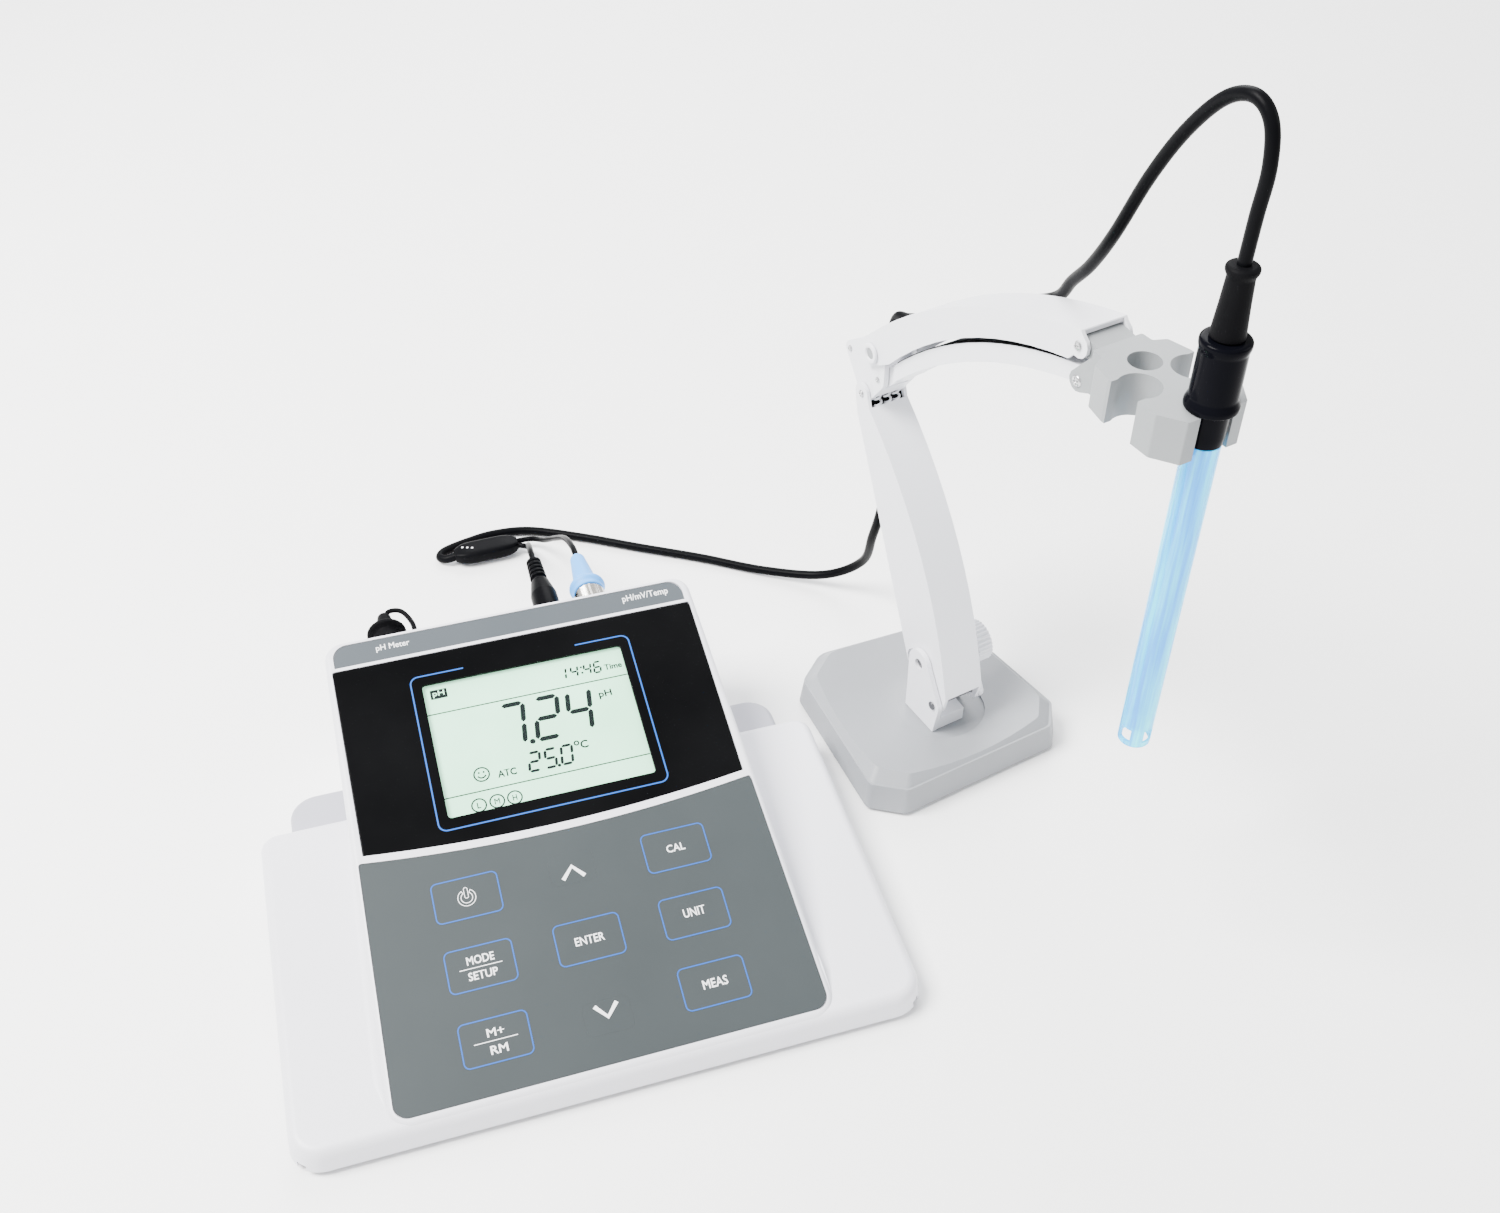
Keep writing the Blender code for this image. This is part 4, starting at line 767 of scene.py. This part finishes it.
KEYS = {
    "key_power": (-0.0419, -0.0350),
    "key_mode": (-0.0419, -0.0636),
    "key_memory": (-0.0419, -0.0925),
    "key_up": (0.0, -0.0330),
    "key_enter": (0.0, -0.0636),
    "key_down": (0.0, -0.0946),
    "key_cal": (0.0419, -0.0350),
    "key_unit": (0.0419, -0.0636),
    "key_meas": (0.0419, -0.0925),
}
WORDS = {
    "key_mode": (("MODE", mm(-46.8, -62.2, -36.3, -58.8)), ("SETUP", mm(-47.2, -68.4, -36.0, -65.1))),
    "key_memory": (("M+", mm(-44.7, -91.1, -38.2, -87.9)), ("RM", mm(-44.5, -97.8, -38.0, -94.5))),
    "key_enter": (("ENTER", mm(-5.6, -65.2, 5.9, -61.8)),),
    "key_cal": (("CAL", mm(38.1, -36.4, 45.6, -33.1)),),
    "key_unit": (("UNIT", mm(37.6, -64.6, 46.3, -61.0)),),
    "key_meas": (("MEAS", mm(37.3, -94.2, 47.1, -90.5)),),
}
# The arrow keys' way and the middle of their mark, and the height of the rule between two words
ARROWS = {"key_up": (1, -0.0349), "key_down": (-1, -0.0923)}
RULES = {"key_mode": -0.0636, "key_memory": -0.0927}


def key_outline(key, grow=0.0):
    width, height = (0.018, 0.013) if key in ARROWS else (0.0264, 0.0175)
    return rounded_box(width + 2 * grow, height + 2 * grow, 0.0026 + grow, KEYS[key], 7)


def arrow(key):
    """The path of the chevron on an arrow key."""
    way, middle = ARROWS[key]
    foot = middle - way * 0.0024
    return [(-0.0043, foot), (0.0, middle + way * 0.0026), (0.0043, foot)]


def power_sign(x, v):
    """The outlines of the ring and the bar of the power sign, each with its hole."""
    ring = arc((x, v), 0.0036, 118, 422, 30) + arc((x, v), 0.0021, 422, 118, 30)
    bar = rounded_box(0.0017, 0.0047, 0.0008, (x, v + 0.0020), 5)
    return [ring, inset(ring, 0.00028)], [bar, inset(bar, 0.00026)]


def keys():
    low, high = KEY_TOP, KEY_TOP + INK
    for key, (x, v) in KEYS.items():
        prints = [plate(key + "_top", [key_outline(key)], FILM_FOOT, KEY_TOP, FILM_GREY)]
        if key in ARROWS:
            lines = [("_mark", arrow(key), 0.0016, INK_WHITE, False)]
        else:
            lines = [("_ring", inset(key_outline(key), 0.00035), 0.00050, LINE_BLUE, True)]
        if key in RULES:
            rule = [(-0.0500, RULES[key]), (-0.0337, RULES[key])]
            lines.append(("_rule", rule, 0.00032, INK_WHITE, False))
        for part, path, width, ink, closed in lines:
            prints.append(ribbon(key + part, path, width, low, high, ink, closed))
        for number, (word, box) in enumerate(WORDS.get(key, ())):
            prints.append(lettering(f"{key}_word{number}", word, box, low, high, INK_WHITE, 0.018))
        if key == "key_power":
            for number, loops in enumerate(power_sign(x, v)):
                prints.append(plate(f"{key}_sign{number}", loops, low, high, INK_WHITE))
        put(joined(key + "_printed", prints), key, "grey_film", key)


# The lit bars of a seven-bar digit, lettered a to f clockwise from the top, with g in the middle
DIGITS = {"0": "abcdef", "1": "bc", "2": "abged", "4": "fgbc", "5": "afgcd", "7": "abc", "6": "afedcg"}


def digit(name, value, left, bottom, width, height, thick, slant=0.13):
    """One slanted seven-bar digit."""
    half = thick / 2
    gap = thick * 0.16
    middle = height / 2
    corners = {
        "a": ((0, height), (width, height)),
        "b": ((width, height), (width, middle)),
        "c": ((width, middle), (width, 0)),
        "d": ((0, 0), (width, 0)),
        "e": ((0, middle), (0, 0)),
        "f": ((0, height), (0, middle)),
        "g": ((0, middle), (width, middle)),
    }
    bars = []
    for bar in DIGITS[value]:
        start, end = (Vector(point) for point in corners[bar])
        along = (end - start).normalized()
        side = Vector((-along.y, along.x)) * half
        start, end = start + along * gap, end - along * gap
        shape = [start, start + along * half + side, end - along * half + side]
        shape += [end, end - along * half - side, start + along * half - side]
        outline = [(left + p.x + p.y * slant, bottom + p.y) for p in shape]
        bars.append(plate(f"{name}_{bar}", [outline], LCD_TOP, LCD_TOP + INK, INK_LCD))
    return bars


def display():
    low, high = LCD_TOP, LCD_TOP + INK
    inks = [plate("lcd_screen", [lcd_outline(0.0009)], -0.0040, LCD_TOP, LCD_GREEN)]
    for name, figures, lefts, bottom, width, height, thick in (
        ("big", "724", (-0.0152, -0.0006, 0.0132), 0.0273, 0.0092, 0.0192, 0.0021),
        ("mid", "250", (-0.0070, -0.0002, 0.0066), 0.0136, 0.0044, 0.0084, 0.00120),
        ("time", "1446", (0.0142, 0.0193, 0.0250, 0.0294), 0.0534, 0.0028, 0.0052, 0.00085),
    ):
        for number, (value, left) in enumerate(zip(figures, lefts)):
            inks += digit(f"{name}{number}", value, left, bottom, width, height, thick)
    for name, text, box, bold in (
        ("unit", "pH", mm(28.6, 40.0, 34.2, 44.2), 0.020),
        ("time_word", "Time", mm(34.0, 53.6, 41.6, 56.4), 0.026),
        ("atc", "ATC", mm(-20.0, 13.9, -12.2, 17.2), 0.028),
        ("celsius", "C", mm(15.7, 19.0, 19.0, 22.7), 0.024),
        ("low", "L", mm(-30.7, 2.4, -29.2, 5.0), 0.015),
        ("mid", "M", mm(-23.6, 2.5, -21.4, 5.1), 0.010),
        ("high", "H", mm(-16.2, 2.4, -14.4, 5.0), 0.015),
    ):
        inks.append(lettering("lcd_" + name, text, box, low, high, INK_LCD, bold))
    for name, outline in (
        ("point", disc(-0.0030, 0.0272, 0.0012, 17, 350)),
        ("mid_point", disc(0.0053, 0.0136, 0.00075, 13, 350)),
        ("colon0", disc(0.0243, 0.0547, 0.00050, 11)),
        ("colon1", disc(0.0243, 0.0575, 0.00050, 11)),
        ("eye0", disc(-0.0273, 0.0181, 0.00042, 11)),
        ("eye1", disc(-0.0253, 0.0181, 0.00042, 11)),
        ("badge", rounded_box(0.0070, 0.0044, 0.0002, (-0.0365, 0.0589), 2)),
    ):
        inks.append(plate(name, [outline], low, high, INK_LCD))
    for name, path, width, closed in (
        ("degree", disc(0.0143, 0.0220, 0.0009, 35, 350), 0.00060, True),
        ("face", disc(-0.0263, 0.0172, 0.0031, 35, 350), 0.00060, True),
        ("ring_l", disc(-0.0299, 0.0037, 0.0029, 35, 350), 0.00060, True),
        ("ring_m", disc(-0.0225, 0.0038, 0.0029, 35, 350), 0.00060, True),
        ("ring_h", disc(-0.0153, 0.0037, 0.0029, 35, 350), 0.00060, True),
        ("smile", arc((-0.0263, 0.0174), 0.0018, 205, 335, 10), 0.00060, False),
        ("rule0", [(-0.0427, 0.0495), (0.0427, 0.0495)], 0.00050, False),
        ("rule1", [(-0.0427, 0.0098), (0.0427, 0.0098)], 0.00050, False),
    ):
        inks.append(ribbon(name, path, width, low, high, INK_LCD, closed))
    box = mm(-39.0, 57.3, -34.1, 60.6)
    inks.append(lettering("badge_word", "pH", box, high, high + 0.00004, LCD_GREEN, 0.02))
    put(joined("lcd_screen_printed", inks), BASE, "lcd_green", "lcd_glass")


# ---- sockets, plugs and leads


def behind(x, z=SOCKET_Z):
    """Draws with z as the distance behind the back wall."""
    place = Matrix.Translation(CENTRE + Vector((x, BACK, z)))
    return place @ Matrix.Rotation(math.radians(-90), 4, "X")


def plugs():
    bnc, warm, covered = behind(BNC_X), behind(TEMPERATURE_X), behind(COVERED_X)
    boot = points(0, 41.7, 2.6, 41.7, 3.4, 40.3, 5.4, 23.0, 6.4, 21.2, 8.2, 19.6, 8.4, 18.0)
    boot += points(7.2, 16.4, 7.2, 14.6, 0, 14.6)
    lathe("bnc_boot_soft", boot, 0.0007, BOOT_BLUE, bnc, BASE, "pale_blue", "bnc_boot")
    collar = points(5.1, 13.8, 6.6, 13.8)
    for step in range(9):
        z = 0.0132 - step * 0.0009
        collar += [(0.0070, z), (0.00675, z - 0.0004)]
    collar += points(7.0, 4.8, 7.0, 3.2, 5.1, 3.0, 5.1, 13.8)
    piece = turned("bnc_collar_knurled", collar, NICKEL, bnc, 48)
    flutes = []
    for number in range(12):
        angle = math.radians(30 * number)
        flute = arc((0.0074 * math.cos(angle), 0.0074 * math.sin(angle)), 0.0006, 0, 315, 7)
        flutes.append(plate(f"flute{number}", [flute], 0.0050, 0.0146, None, bnc))
    put(subtract(piece, *flutes), "bnc_collar", "nickel", "bnc_collar")
    plug = points(0, 44.5, 2.8, 44.5)
    for rib in range(5):
        start, radius = 0.0440 - rib * 0.0028, 0.0035 + rib * 0.0001
        plug += [(radius, start), (radius, start - 0.0015)]
        plug += [(0.0028, start - 0.0018), (0.0028, start - 0.0025)]
    plug += points(4.2, 28.5, 6.0, 19.0, 6.0, 6.6, 0, 6.6)
    name = "temperature_plug"
    lathe(name + "_ribbed", plug, 0.0003, CABLE, warm, BASE, "cable_black", name, 48)
    cap = points(0, 27.0, 1.8, 27.0, 2.8, 25.8, 4.0, 20.0, 5.0, 17.2, 8.6, 14.8, 8.6, 13.2)
    cap += points(5.8, 12.4, 5.8, 3.0, 4.7, 3.0, 4.7, 11.8, 0, 11.8)
    body = turned("dust_cap_body", soft_profile(cap, 0.0006), RUBBER_AND_SHADE, covered)
    knots = [mm(0.2, 0, 24), mm(2.5, -1.2, 27.6), mm(8, -1.5, 25.8), mm(11.8, 0, 18), mm(12.2, 2, 8)]
    strap = tube("dust_cap_strap", smooth_path(knots, 8), 0.0011, RUBBER_AND_SHADE, 14)
    strap.data.transform(covered)
    put(joined("dust_cap_strapped", [body, strap]), "dust_cap", "rubber", "dust_cap")
    for node, place, length, radius, flange, shank in (
        ("temperature_socket", warm, 0.0060, 0.0036, 0.0060, 0.0046),
        ("covered_socket", covered, 0.0110, 0.0042, 0.0060, 0.0046),
        ("bnc_socket", bnc, 0.0105, 0.0046, 0.0078, 0.0059),
    ):
        profile = [(0, length - 0.003), (radius - 0.0008, length - 0.003), (radius - 0.0008, length)]
        profile += [(radius, length - 0.0003), (radius, 0.0026), (flange - 0.0004, 0.0026)]
        profile += [(flange, 0.0022), (flange, 0.0004), (shank, 0.0004), (shank, -0.0080), (0, -0.0080)]
        piece = turned(node + "_turned", soft_profile(profile, 0.0002, 2), NICKEL, place, 48)
        put(piece, BASE, "nickel", node)


def at(x, y, z):
    """A place given from the meter's own middle, in millimetres."""
    return CENTRE + Vector(mm(x, y, z))


def on_stand(x, y, z):
    """A place given in the stand's frame, in millimetres."""
    return STAND @ Vector(mm(x, y, z))


def leads():
    bnc = [at(38.5, 130.8, 54.5), at(38.4, 142, 53.4), at(37.6, 160, 45), at(36, 184, 27)]
    bnc += [at(33, 203, 12), at(28.5, 213, 6.2), at(22.5, 215.3, 5), at(17, 214.8, 5)]
    put(tube("bnc_lead_cord", smooth_path(bnc, 10), 0.0014, CABLE), BASE, "cable_black", "bnc_lead")
    warm = [at(18.5, 133.8, 54.5), at(18.9, 146, 52.8), at(20.4, 165, 41), at(22.8, 185, 24)]
    warm += [at(24.6, 200, 10.5), at(24.4, 207.5, 6), at(21.6, 210.9, 5), at(17, 212, 5)]
    cord = tube("temperature_lead_cord", smooth_path(warm, 10), 0.0014, CABLE)
    put(cord, BASE, "cable_black", "temperature_lead")


def splitter():
    """The moulded yoke where one cable becomes two leads."""
    turn = Matrix.Translation(at(3.5, 213.0, 5.0)) @ Matrix.Rotation(math.radians(1.7), 4, "Z")
    rings = []
    for step in range(25):
        t = -1 + 2 * step / 24
        swell = max(0.0, 1 - abs(t) ** 5)
        half_y, half_z = 0.0030 + 0.0034 * swell, 0.0024 + 0.0013 * swell
        ring = []
        for index in range(36):
            a = math.tau * index / 36
            c, s = math.cos(a), math.sin(a)
            y = half_y * math.copysign(abs(c) ** 0.5, c)
            z = half_z * math.copysign(abs(s) ** 0.5, s)
            ring.append((0.0165 * t, y, z))
        rings.append(ring)
    body = loft("splitter_body", rings, CABLE, turn)
    marks = [body]
    for number in range(3):
        dot = arc((-0.0120 + number * 0.0024, 0.0012 - number * 0.0010), 0.00055, 0, 330, 11)
        marks.append(plate(f"splitter_dot{number}", [dot], 0.0030, 0.00374, INK_WHITE, turn))
    put(joined("splitter_marked", marks), BASE, "cable_black", "cable_splitter")


def electrode_cable():
    """The one long cable, in lengths that each cross a single joint of the arm."""
    bench = [(-12.0, 212.5, 4.6), (-17.5, 213.2, 3.4), (-20.5, 217, 2.5), (-17, 221.5, 2.4)]
    bench += [(-5, 225.5, 2.4), (10, 228, 2.4), (29, 225, 2.4), (54, 211.5, 2.4)]
    bench += [(82, 193.5, 2.4), (110, 176, 2.4), (138, 156, 3.0)]
    elbow = [(14.3, 74, 148), (14.4, 76.5, 164), (14.2, 73.5, 174.5), (13.6, 64, 179)]
    upper = [(13.0, 45, 189), (12.8, 20, 207), (12.8, -8, 223)]
    loop = [(12.4, -24, 233), (9, -34, 245), (5, -46, 258), (1, -58.5, 276)]
    free = [(0, -70, 300), (0, -81, 319), (0, -93, 333), (0, -103.5, 337.5), (0, -111, 333)]
    free += [(0, -114, 321), (0, -113.4, 306), (0, -113.0, 290.0)]
    bench = [at(*knot) for knot in bench]
    rise = [at(164, 138, 8), at(179, 124, 24), on_stand(13, 80, 52), on_stand(12.8, 73, 78)]
    arm = [[(13.2, 70, 112)], elbow, upper, loop, free]
    groups = [bench, rise] + [[on_stand(*knot) for knot in group] for group in arm]
    names = ["bench", "rise", "back", "elbow", "along", "leave", "loop"]
    bodies = [
        (BASE,),
        (BASE, "pedestal"),
        ("pedestal", "lower_front"),
        ("lower_front", "elbow"),
        ("elbow", "upper_bar"),
        ("upper_bar", "holder"),
        ("holder", "electrode"),
    ]
    nodes = [("cable_bench",), ("cable_rise",), (), (), ("cable_arm",), (), ("cable_loop",)]
    steps = 12
    path = smooth_path([knot for group in groups for knot in group], steps)
    begin = 0
    for name, group, pair, stands in zip(names, groups, bodies, nodes):
        stop = min(begin + len(group) * steps, len(path) - 1)
        span = path[begin : stop + 1]
        cord = tube("cable_" + name + "_cord", span, 0.0022, CABLE, 24)
        if len(pair) == 1:
            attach(cord, pair[0])
        else:
            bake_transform(cord)
        if stands:
            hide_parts(*stands)
        begin = stop


# ---- stand


def in_arm(y, z):
    """A place in the arm's own plane, in millimetres, with z running across the arm to its right."""
    return Matrix.Translation(on_stand(0, y, z)) @ Matrix.Rotation(TURN, 4, "Z") @ ARM


def pivot_of(joint):
    """The same, at a joint of the arm."""
    return Matrix.Translation(Vector(JOINTS[joint]["pos_m"])) @ Matrix.Rotation(TURN, 4, "Z") @ ARM


def screw(name, place, body, x, radius, reach=0.0006, shank=None):
    """A domed screw with a crossed slot, its head against the arm's left face at x."""
    turn = place @ Matrix.Translation((0, 0, x)) @ Matrix.Rotation(math.pi, 4, "X")
    profile = [(0, 0.0008), (radius * 0.55, 0.00075), (radius * 0.85, 0.00055), (radius, 0.0001)]
    profile += [(radius, -0.0002)]
    if shank:
        profile += [(shank, -0.0002), (shank, -reach), (0, -reach)]
    else:
        profile += [(radius, -reach), (0, -reach)]
    head = turned(name, profile, STEEL, turn, 32)
    cuts = []
    for number, angle in enumerate((25, 115)):
        blade = rounded_box(radius * 1.3, radius * 0.26, radius * 0.06, steps=2)
        blade_turn = turn @ Matrix.Rotation(math.radians(angle), 4, "Z")
        cuts.append(plate(f"{name}_slot{number}", [blade], 0.0002, 0.0020, None, blade_turn))
    return put(subtract(head, *cuts), body, "steel")


def bow_line():
    """The outline, in the arm's plane, of a thin black strip of painted shade along the narrow dark gap that
    follows the bow of the upper arm.
    """
    low, high = [], []
    for step in range(17):
        along = 0.05 + 0.90 * step / 16
        bow = 0.00855 * 4 * along * (1 - along)
        low.append((0.0460 - 0.1040 * along + bow * 0.493, 0.1716 + 0.0590 * along + bow * 0.870))
        high.append((low[-1][0], low[-1][1] + 0.0004))
    return low + high[::-1]


def coil(x):
    """The wire of one small spring under the elbow."""
    wire = []
    for step in range(49):
        t = step / 48
        angle = math.tau * 3 * t
        along = Vector((x, 0.0572 + 0.0028 * t, 0.1445 + 0.0080 * t))
        wire.append(STAND @ (along + Vector((0.0015 * math.cos(angle), 0.0012 * math.sin(angle), 0))))
    return wire


def elbow_details():
    """The screws round the elbow, its front web and the springs that show under it, with black pieces of painted
    shade behind the springs, on the lower bar and along the gap under the upper arm.
    """
    for name, place, body, x, radius in (
        ("elbow_screw_low", pivot_of("elbow_turn"), "elbow", -BAR_HALF, 0.0017),
        ("elbow_screw_rear", in_arm(75.0, 165.5), "elbow", -CHEEK_HALF, 0.0014),
        ("elbow_screw_under", pivot_of("under_bar_turn"), "elbow", -CHEEK_HALF, 0.0013),
        ("holder_screw", in_arm(-64.1, 227.5), "holder", -0.0105, 0.0022),
    ):
        screw(name, place, body, x, radius)
    place = pivot_of("upper_arm")
    ring = points(0, 11.0, 2.4, 11.0, 2.4, -10.0, 4.5, -10.0, 4.5, -10.8, 4.1, -11.3, 2.8, -11.3)
    ring += points(2.4, -10.6, 0, -10.6)
    bolt = turned("upper_bolt_ring", soft_profile(ring, 0.0003), BAR_WHITE, place, 48)
    core = points(0, -10.3, 2.3, -10.3, 2.3, -10.75, 0, -10.75)
    core = turned("upper_bolt_core", core, HOLDER_GREY, place, 32)
    put(joined("upper_bolt_capped", [bolt, core]), "elbow", "bar_white", "upper_bolt")
    flat = in_arm(0, 0)
    web = points(51.5, 157.6, 56.9, 150.7, 57.7, 151.3, 52.3, 158.2)
    web = plate("elbow_web", [web], -0.0080, 0.0080, BAR_WHITE, flat)
    put(bevelled(web, 0.0002, 1), "elbow", "bar_white")
    # A black plate behind the springs stands for the dark opening under the elbow: painted shade.
    back = points(57.0, 143.5, 58.0, 143.0, 62.6, 152.6, 61.6, 153.1)
    put(plate("spring_shade", [back], -0.0082, 0.0082, RUBBER_AND_SHADE, flat), "lower_front", "rubber")
    for number, x in enumerate((-0.0042, 0.0006, 0.0050)):
        put(tube(f"arm_spring_{number}", coil(x), 0.00050, BAR_WHITE, 10), "lower_front", "bar_white")
    # A black disc let into the lower bar's left face stands for the dark inside of a hole: painted shade.
    face, dot = -BAR_HALF - 0.00003, disc(0, 0, 0.0008, 23, 345)
    hole = plate("lower_bar_hole_shade", [dot], face, -BAR_HALF + 0.0006, RUBBER_AND_SHADE, in_arm(-1.8, 44.8))
    put(hole, "lower_front", "rubber")
    # A black strip on top of the under bar, inside the top bar's channel, stands for the dark gap between the
    # bars: painted shade.
    put(plate("under_bar_shade", [bow_line()], -0.0074, 0.0074, RUBBER_AND_SHADE, flat), "under_bar", "rubber")


def tension_knob():
    """The ribbed hand knob on the end of the tension bolt."""
    place = pivot_of("tension_knob_turn")
    outline = []
    ribs = 30
    for step in range(ribs * 6):
        radius = 0.0091 + 0.00035 * math.cos(math.tau * step / 6)
        angle = math.tau * step / (ribs * 6)
        outline.append((radius * math.cos(angle), radius * math.sin(angle)))
    hole = disc(0, 0, 0.0027, 23, 345)
    rim = plate("tension_knob_rim", [outline, hole], 0.0140, 0.0216, BAR_WHITE, place)
    applied(bevelled(rim, 0.0004, 2, 60))
    neck = points(2.7, 14.2, 5.6, 14.2, 5.6, 12.7, 2.7, 12.7, 2.7, 14.2)
    neck = turned("tension_knob_neck", neck, BAR_WHITE, place, 40)
    put(joined("tension_knob_ribbed", [rim, neck]), "tension_knob", "bar_white", "tension_knob")


def stand():
    for node, material, width, segments, angle in (
        ("stand_base", BASE_GREY, 0.0011, 4, 20),
        ("base_pad", RUBBER_AND_SHADE, 0.0003, 2, 32),
        ("swivel_bolt", STEEL, 0.0003, 3, 32),
        ("pedestal", BAR_WHITE, 0.0005, 3, 32),
        ("lower_rear_link", BAR_WHITE, 0.0005, 3, 32),
        ("elbow_block", BAR_WHITE, 0.0005, 3, 32),
        ("lower_front_bar", BAR_WHITE, 0.0006, 3, 32),
        ("upper_top_bar", BAR_WHITE, 0.0006, 3, 32),
        ("upper_under_bar", BAR_WHITE, 0.0006, 3, 32),
        # The tension bolt and the front pin take the darker copy of the steel, painted shade of the holes they sit
        # in.
        ("tension_bolt", STEEL_SHADED, 0.0003, 3, 32),
        ("front_pin", STEEL_SHADED, 0.0002, 3, 32),
        ("electrode_holder", HOLDER_GREY, 0.0010, 3, 32),
    ):
        carried(node, material, width, segments, angle)
    place = pivot_of("holder_turn")
    pin = screw("holder_pin_screw", place, "upper_bar", -0.0100, 0.0018, 0.0198, 0.0012)
    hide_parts("holder_pin")
    elbow_details()
    tension_knob()


# ---- electrode


def electrode():
    low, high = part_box("electrode_tube")
    axis = Matrix.Translation(((low.x + high.x) / 2, (low.y + high.y) / 2, 0.0))
    boot = points(0, 291.0, 4.2, 291.0, 5.2, 290.2, 5.2, 289.0, 4.3, 287.2, 4.8, 278.0, 5.6, 267.2, 0, 267.2)
    lathe("electrode_boot_soft", boot, 0.0005, RUBBER_AND_SHADE, axis, "electrode", "rubber", "electrode_boot")
    cap = points(0, 266.8, 7.2, 266.8, 8.1, 266.2, 8.2, 265.0, 8.0, 263.8, 7.7, 262.8, 7.8, 246.4)
    cap += points(8.8, 244.0, 8.8, 242.4, 6.6, 242.2, 6.4, 233.0, 6.2, 229.3, 0, 229.3)
    lathe("electrode_cap_gloss", cap, 0.0005, CAP_BLACK, axis, "electrode", "cap_black", "electrode_cap")
    body = points(4.5, 229.0, 6.0, 229.0, 6.0, 95.0, 5.1, 95.0, 5.1, 108.5, 4.6, 110.0, 4.6, 229.0)
    shell = turned("electrode_tube_clear", body, TUBE_BLUE, axis)
    cutters = []
    for number in range(2):
        slit = rounded_box(0.020, 0.0044, 0.0020, steps=6)
        turn = axis @ Matrix.Rotation(math.radians(20 + 90 * number), 4, "Z")
        cutters.append(plate(f"guard_slit{number}", [slit], 0.0972, 0.1030, None, turn))
    subtract(shell, *cutters)
    shell.data.shade_smooth()
    shell.data.set_sharp_from_angle(angle=SHARP)
    put(shell, "electrode", "clear_blue", "electrode_tube")
    inner = points(0, 224.5, 2.1, 224.5, 2.1, 112.0, 2.7, 110.0, 2.7, 109.2, 0, 109.2)
    name = "reference_tube"
    lathe(name + "_inner", inner, 0.0003, INNER_BLUE, axis, "electrode", "clear_blue", name, 40)
    bulb = points(0, 108.6, 2.6, 108.4, 3.4, 106.4, 3.6, 104.0, 3.0, 101.8, 1.6, 100.4, 0, 100.0)
    lathe("glass_bulb_blown", bulb, 0.0012, BULB_GLASS, axis, "electrode", "glass", "glass_bulb", 48, 4)


def underside():
    carried("bottom_plate", CASE_GREY, 0.0003, 2)
    carried("main_board", BOARD, 0.0)
    carried("backlight", GUIDE, 0.0)
    for number in range(1, 5):
        carried(f"rubber_foot_{number}", RUBBER_AND_SHADE, 0.0003)
        carried(f"case_screw_{number}", STEEL, 0.0002, 2)


case()
front_panel()
keys()
display()
plugs()
leads()
splitter()
electrode_cable()
stand()
electrode()
underside()


# ---- floor, light and camera


def studio():
    bpy.ops.mesh.primitive_plane_add(size=8.0, location=(0, 0, -0.0002))
    ground = bpy.context.object
    ground.name = "floor"
    ground.data.materials.append(FLOOR)
    world = bpy.data.worlds.new("soft_room")
    world.use_nodes = True
    bpy.context.scene.world = world
    sky = world.node_tree.nodes["Background"]
    sky.inputs["Color"].default_value = (1.0, 1.0, 1.0, 1.0)
    sky.inputs["Strength"].default_value = 1.15
    for name, place, size, power, colour in (
        ("key_light", (-1.0, 0.1, 1.55), 0.9, 135.0, (1.0, 0.99, 0.97)),
        ("back_light", (0.5, 1.4, 1.3), 1.2, 48.0, (0.97, 0.98, 1.0)),
        ("side_light", (1.5, -0.5, 0.9), 0.9, 9.0, (0.95, 0.97, 1.0)),
    ):
        data = bpy.data.lights.new(name, "AREA")
        data.energy = power
        data.size = size
        data.color = colour
        lamp = linked(name, data)
        lamp.location = place
        lamp.rotation_mode = "QUATERNION"
        lamp.rotation_quaternion = (Vector((0, 0, 0.05)) - Vector(place)).to_track_quat("-Z", "Y")


# The camera as fitted to the photo: focal length and width in pixels, turn as axis times angle
FOCAL_PIXELS, PHOTO_WIDTH, SENSOR = 1516.23, 1500.0, 36.0
CAMERA_SPIN = Vector((2.27052, -0.34031, 0.14791))
CAMERA_PLACE = CENTRE + Vector(mm(-41.81, -417.73, 506.08))


def camera():
    data = bpy.data.cameras.new("photo_view")
    data.sensor_width = SENSOR
    data.lens = FOCAL_PIXELS * SENSOR / PHOTO_WIDTH
    data.clip_start, data.clip_end = 0.01, 20.0
    made = linked("photo_view", data)
    turn = Quaternion(CAMERA_SPIN.normalized(), CAMERA_SPIN.length).to_matrix()
    basis = Matrix((turn[0], -turn[1], -turn[2])).transposed()
    made.matrix_world = Matrix.Translation(CAMERA_PLACE) @ basis.to_4x4()
    bpy.context.scene.camera = made


studio()
camera()
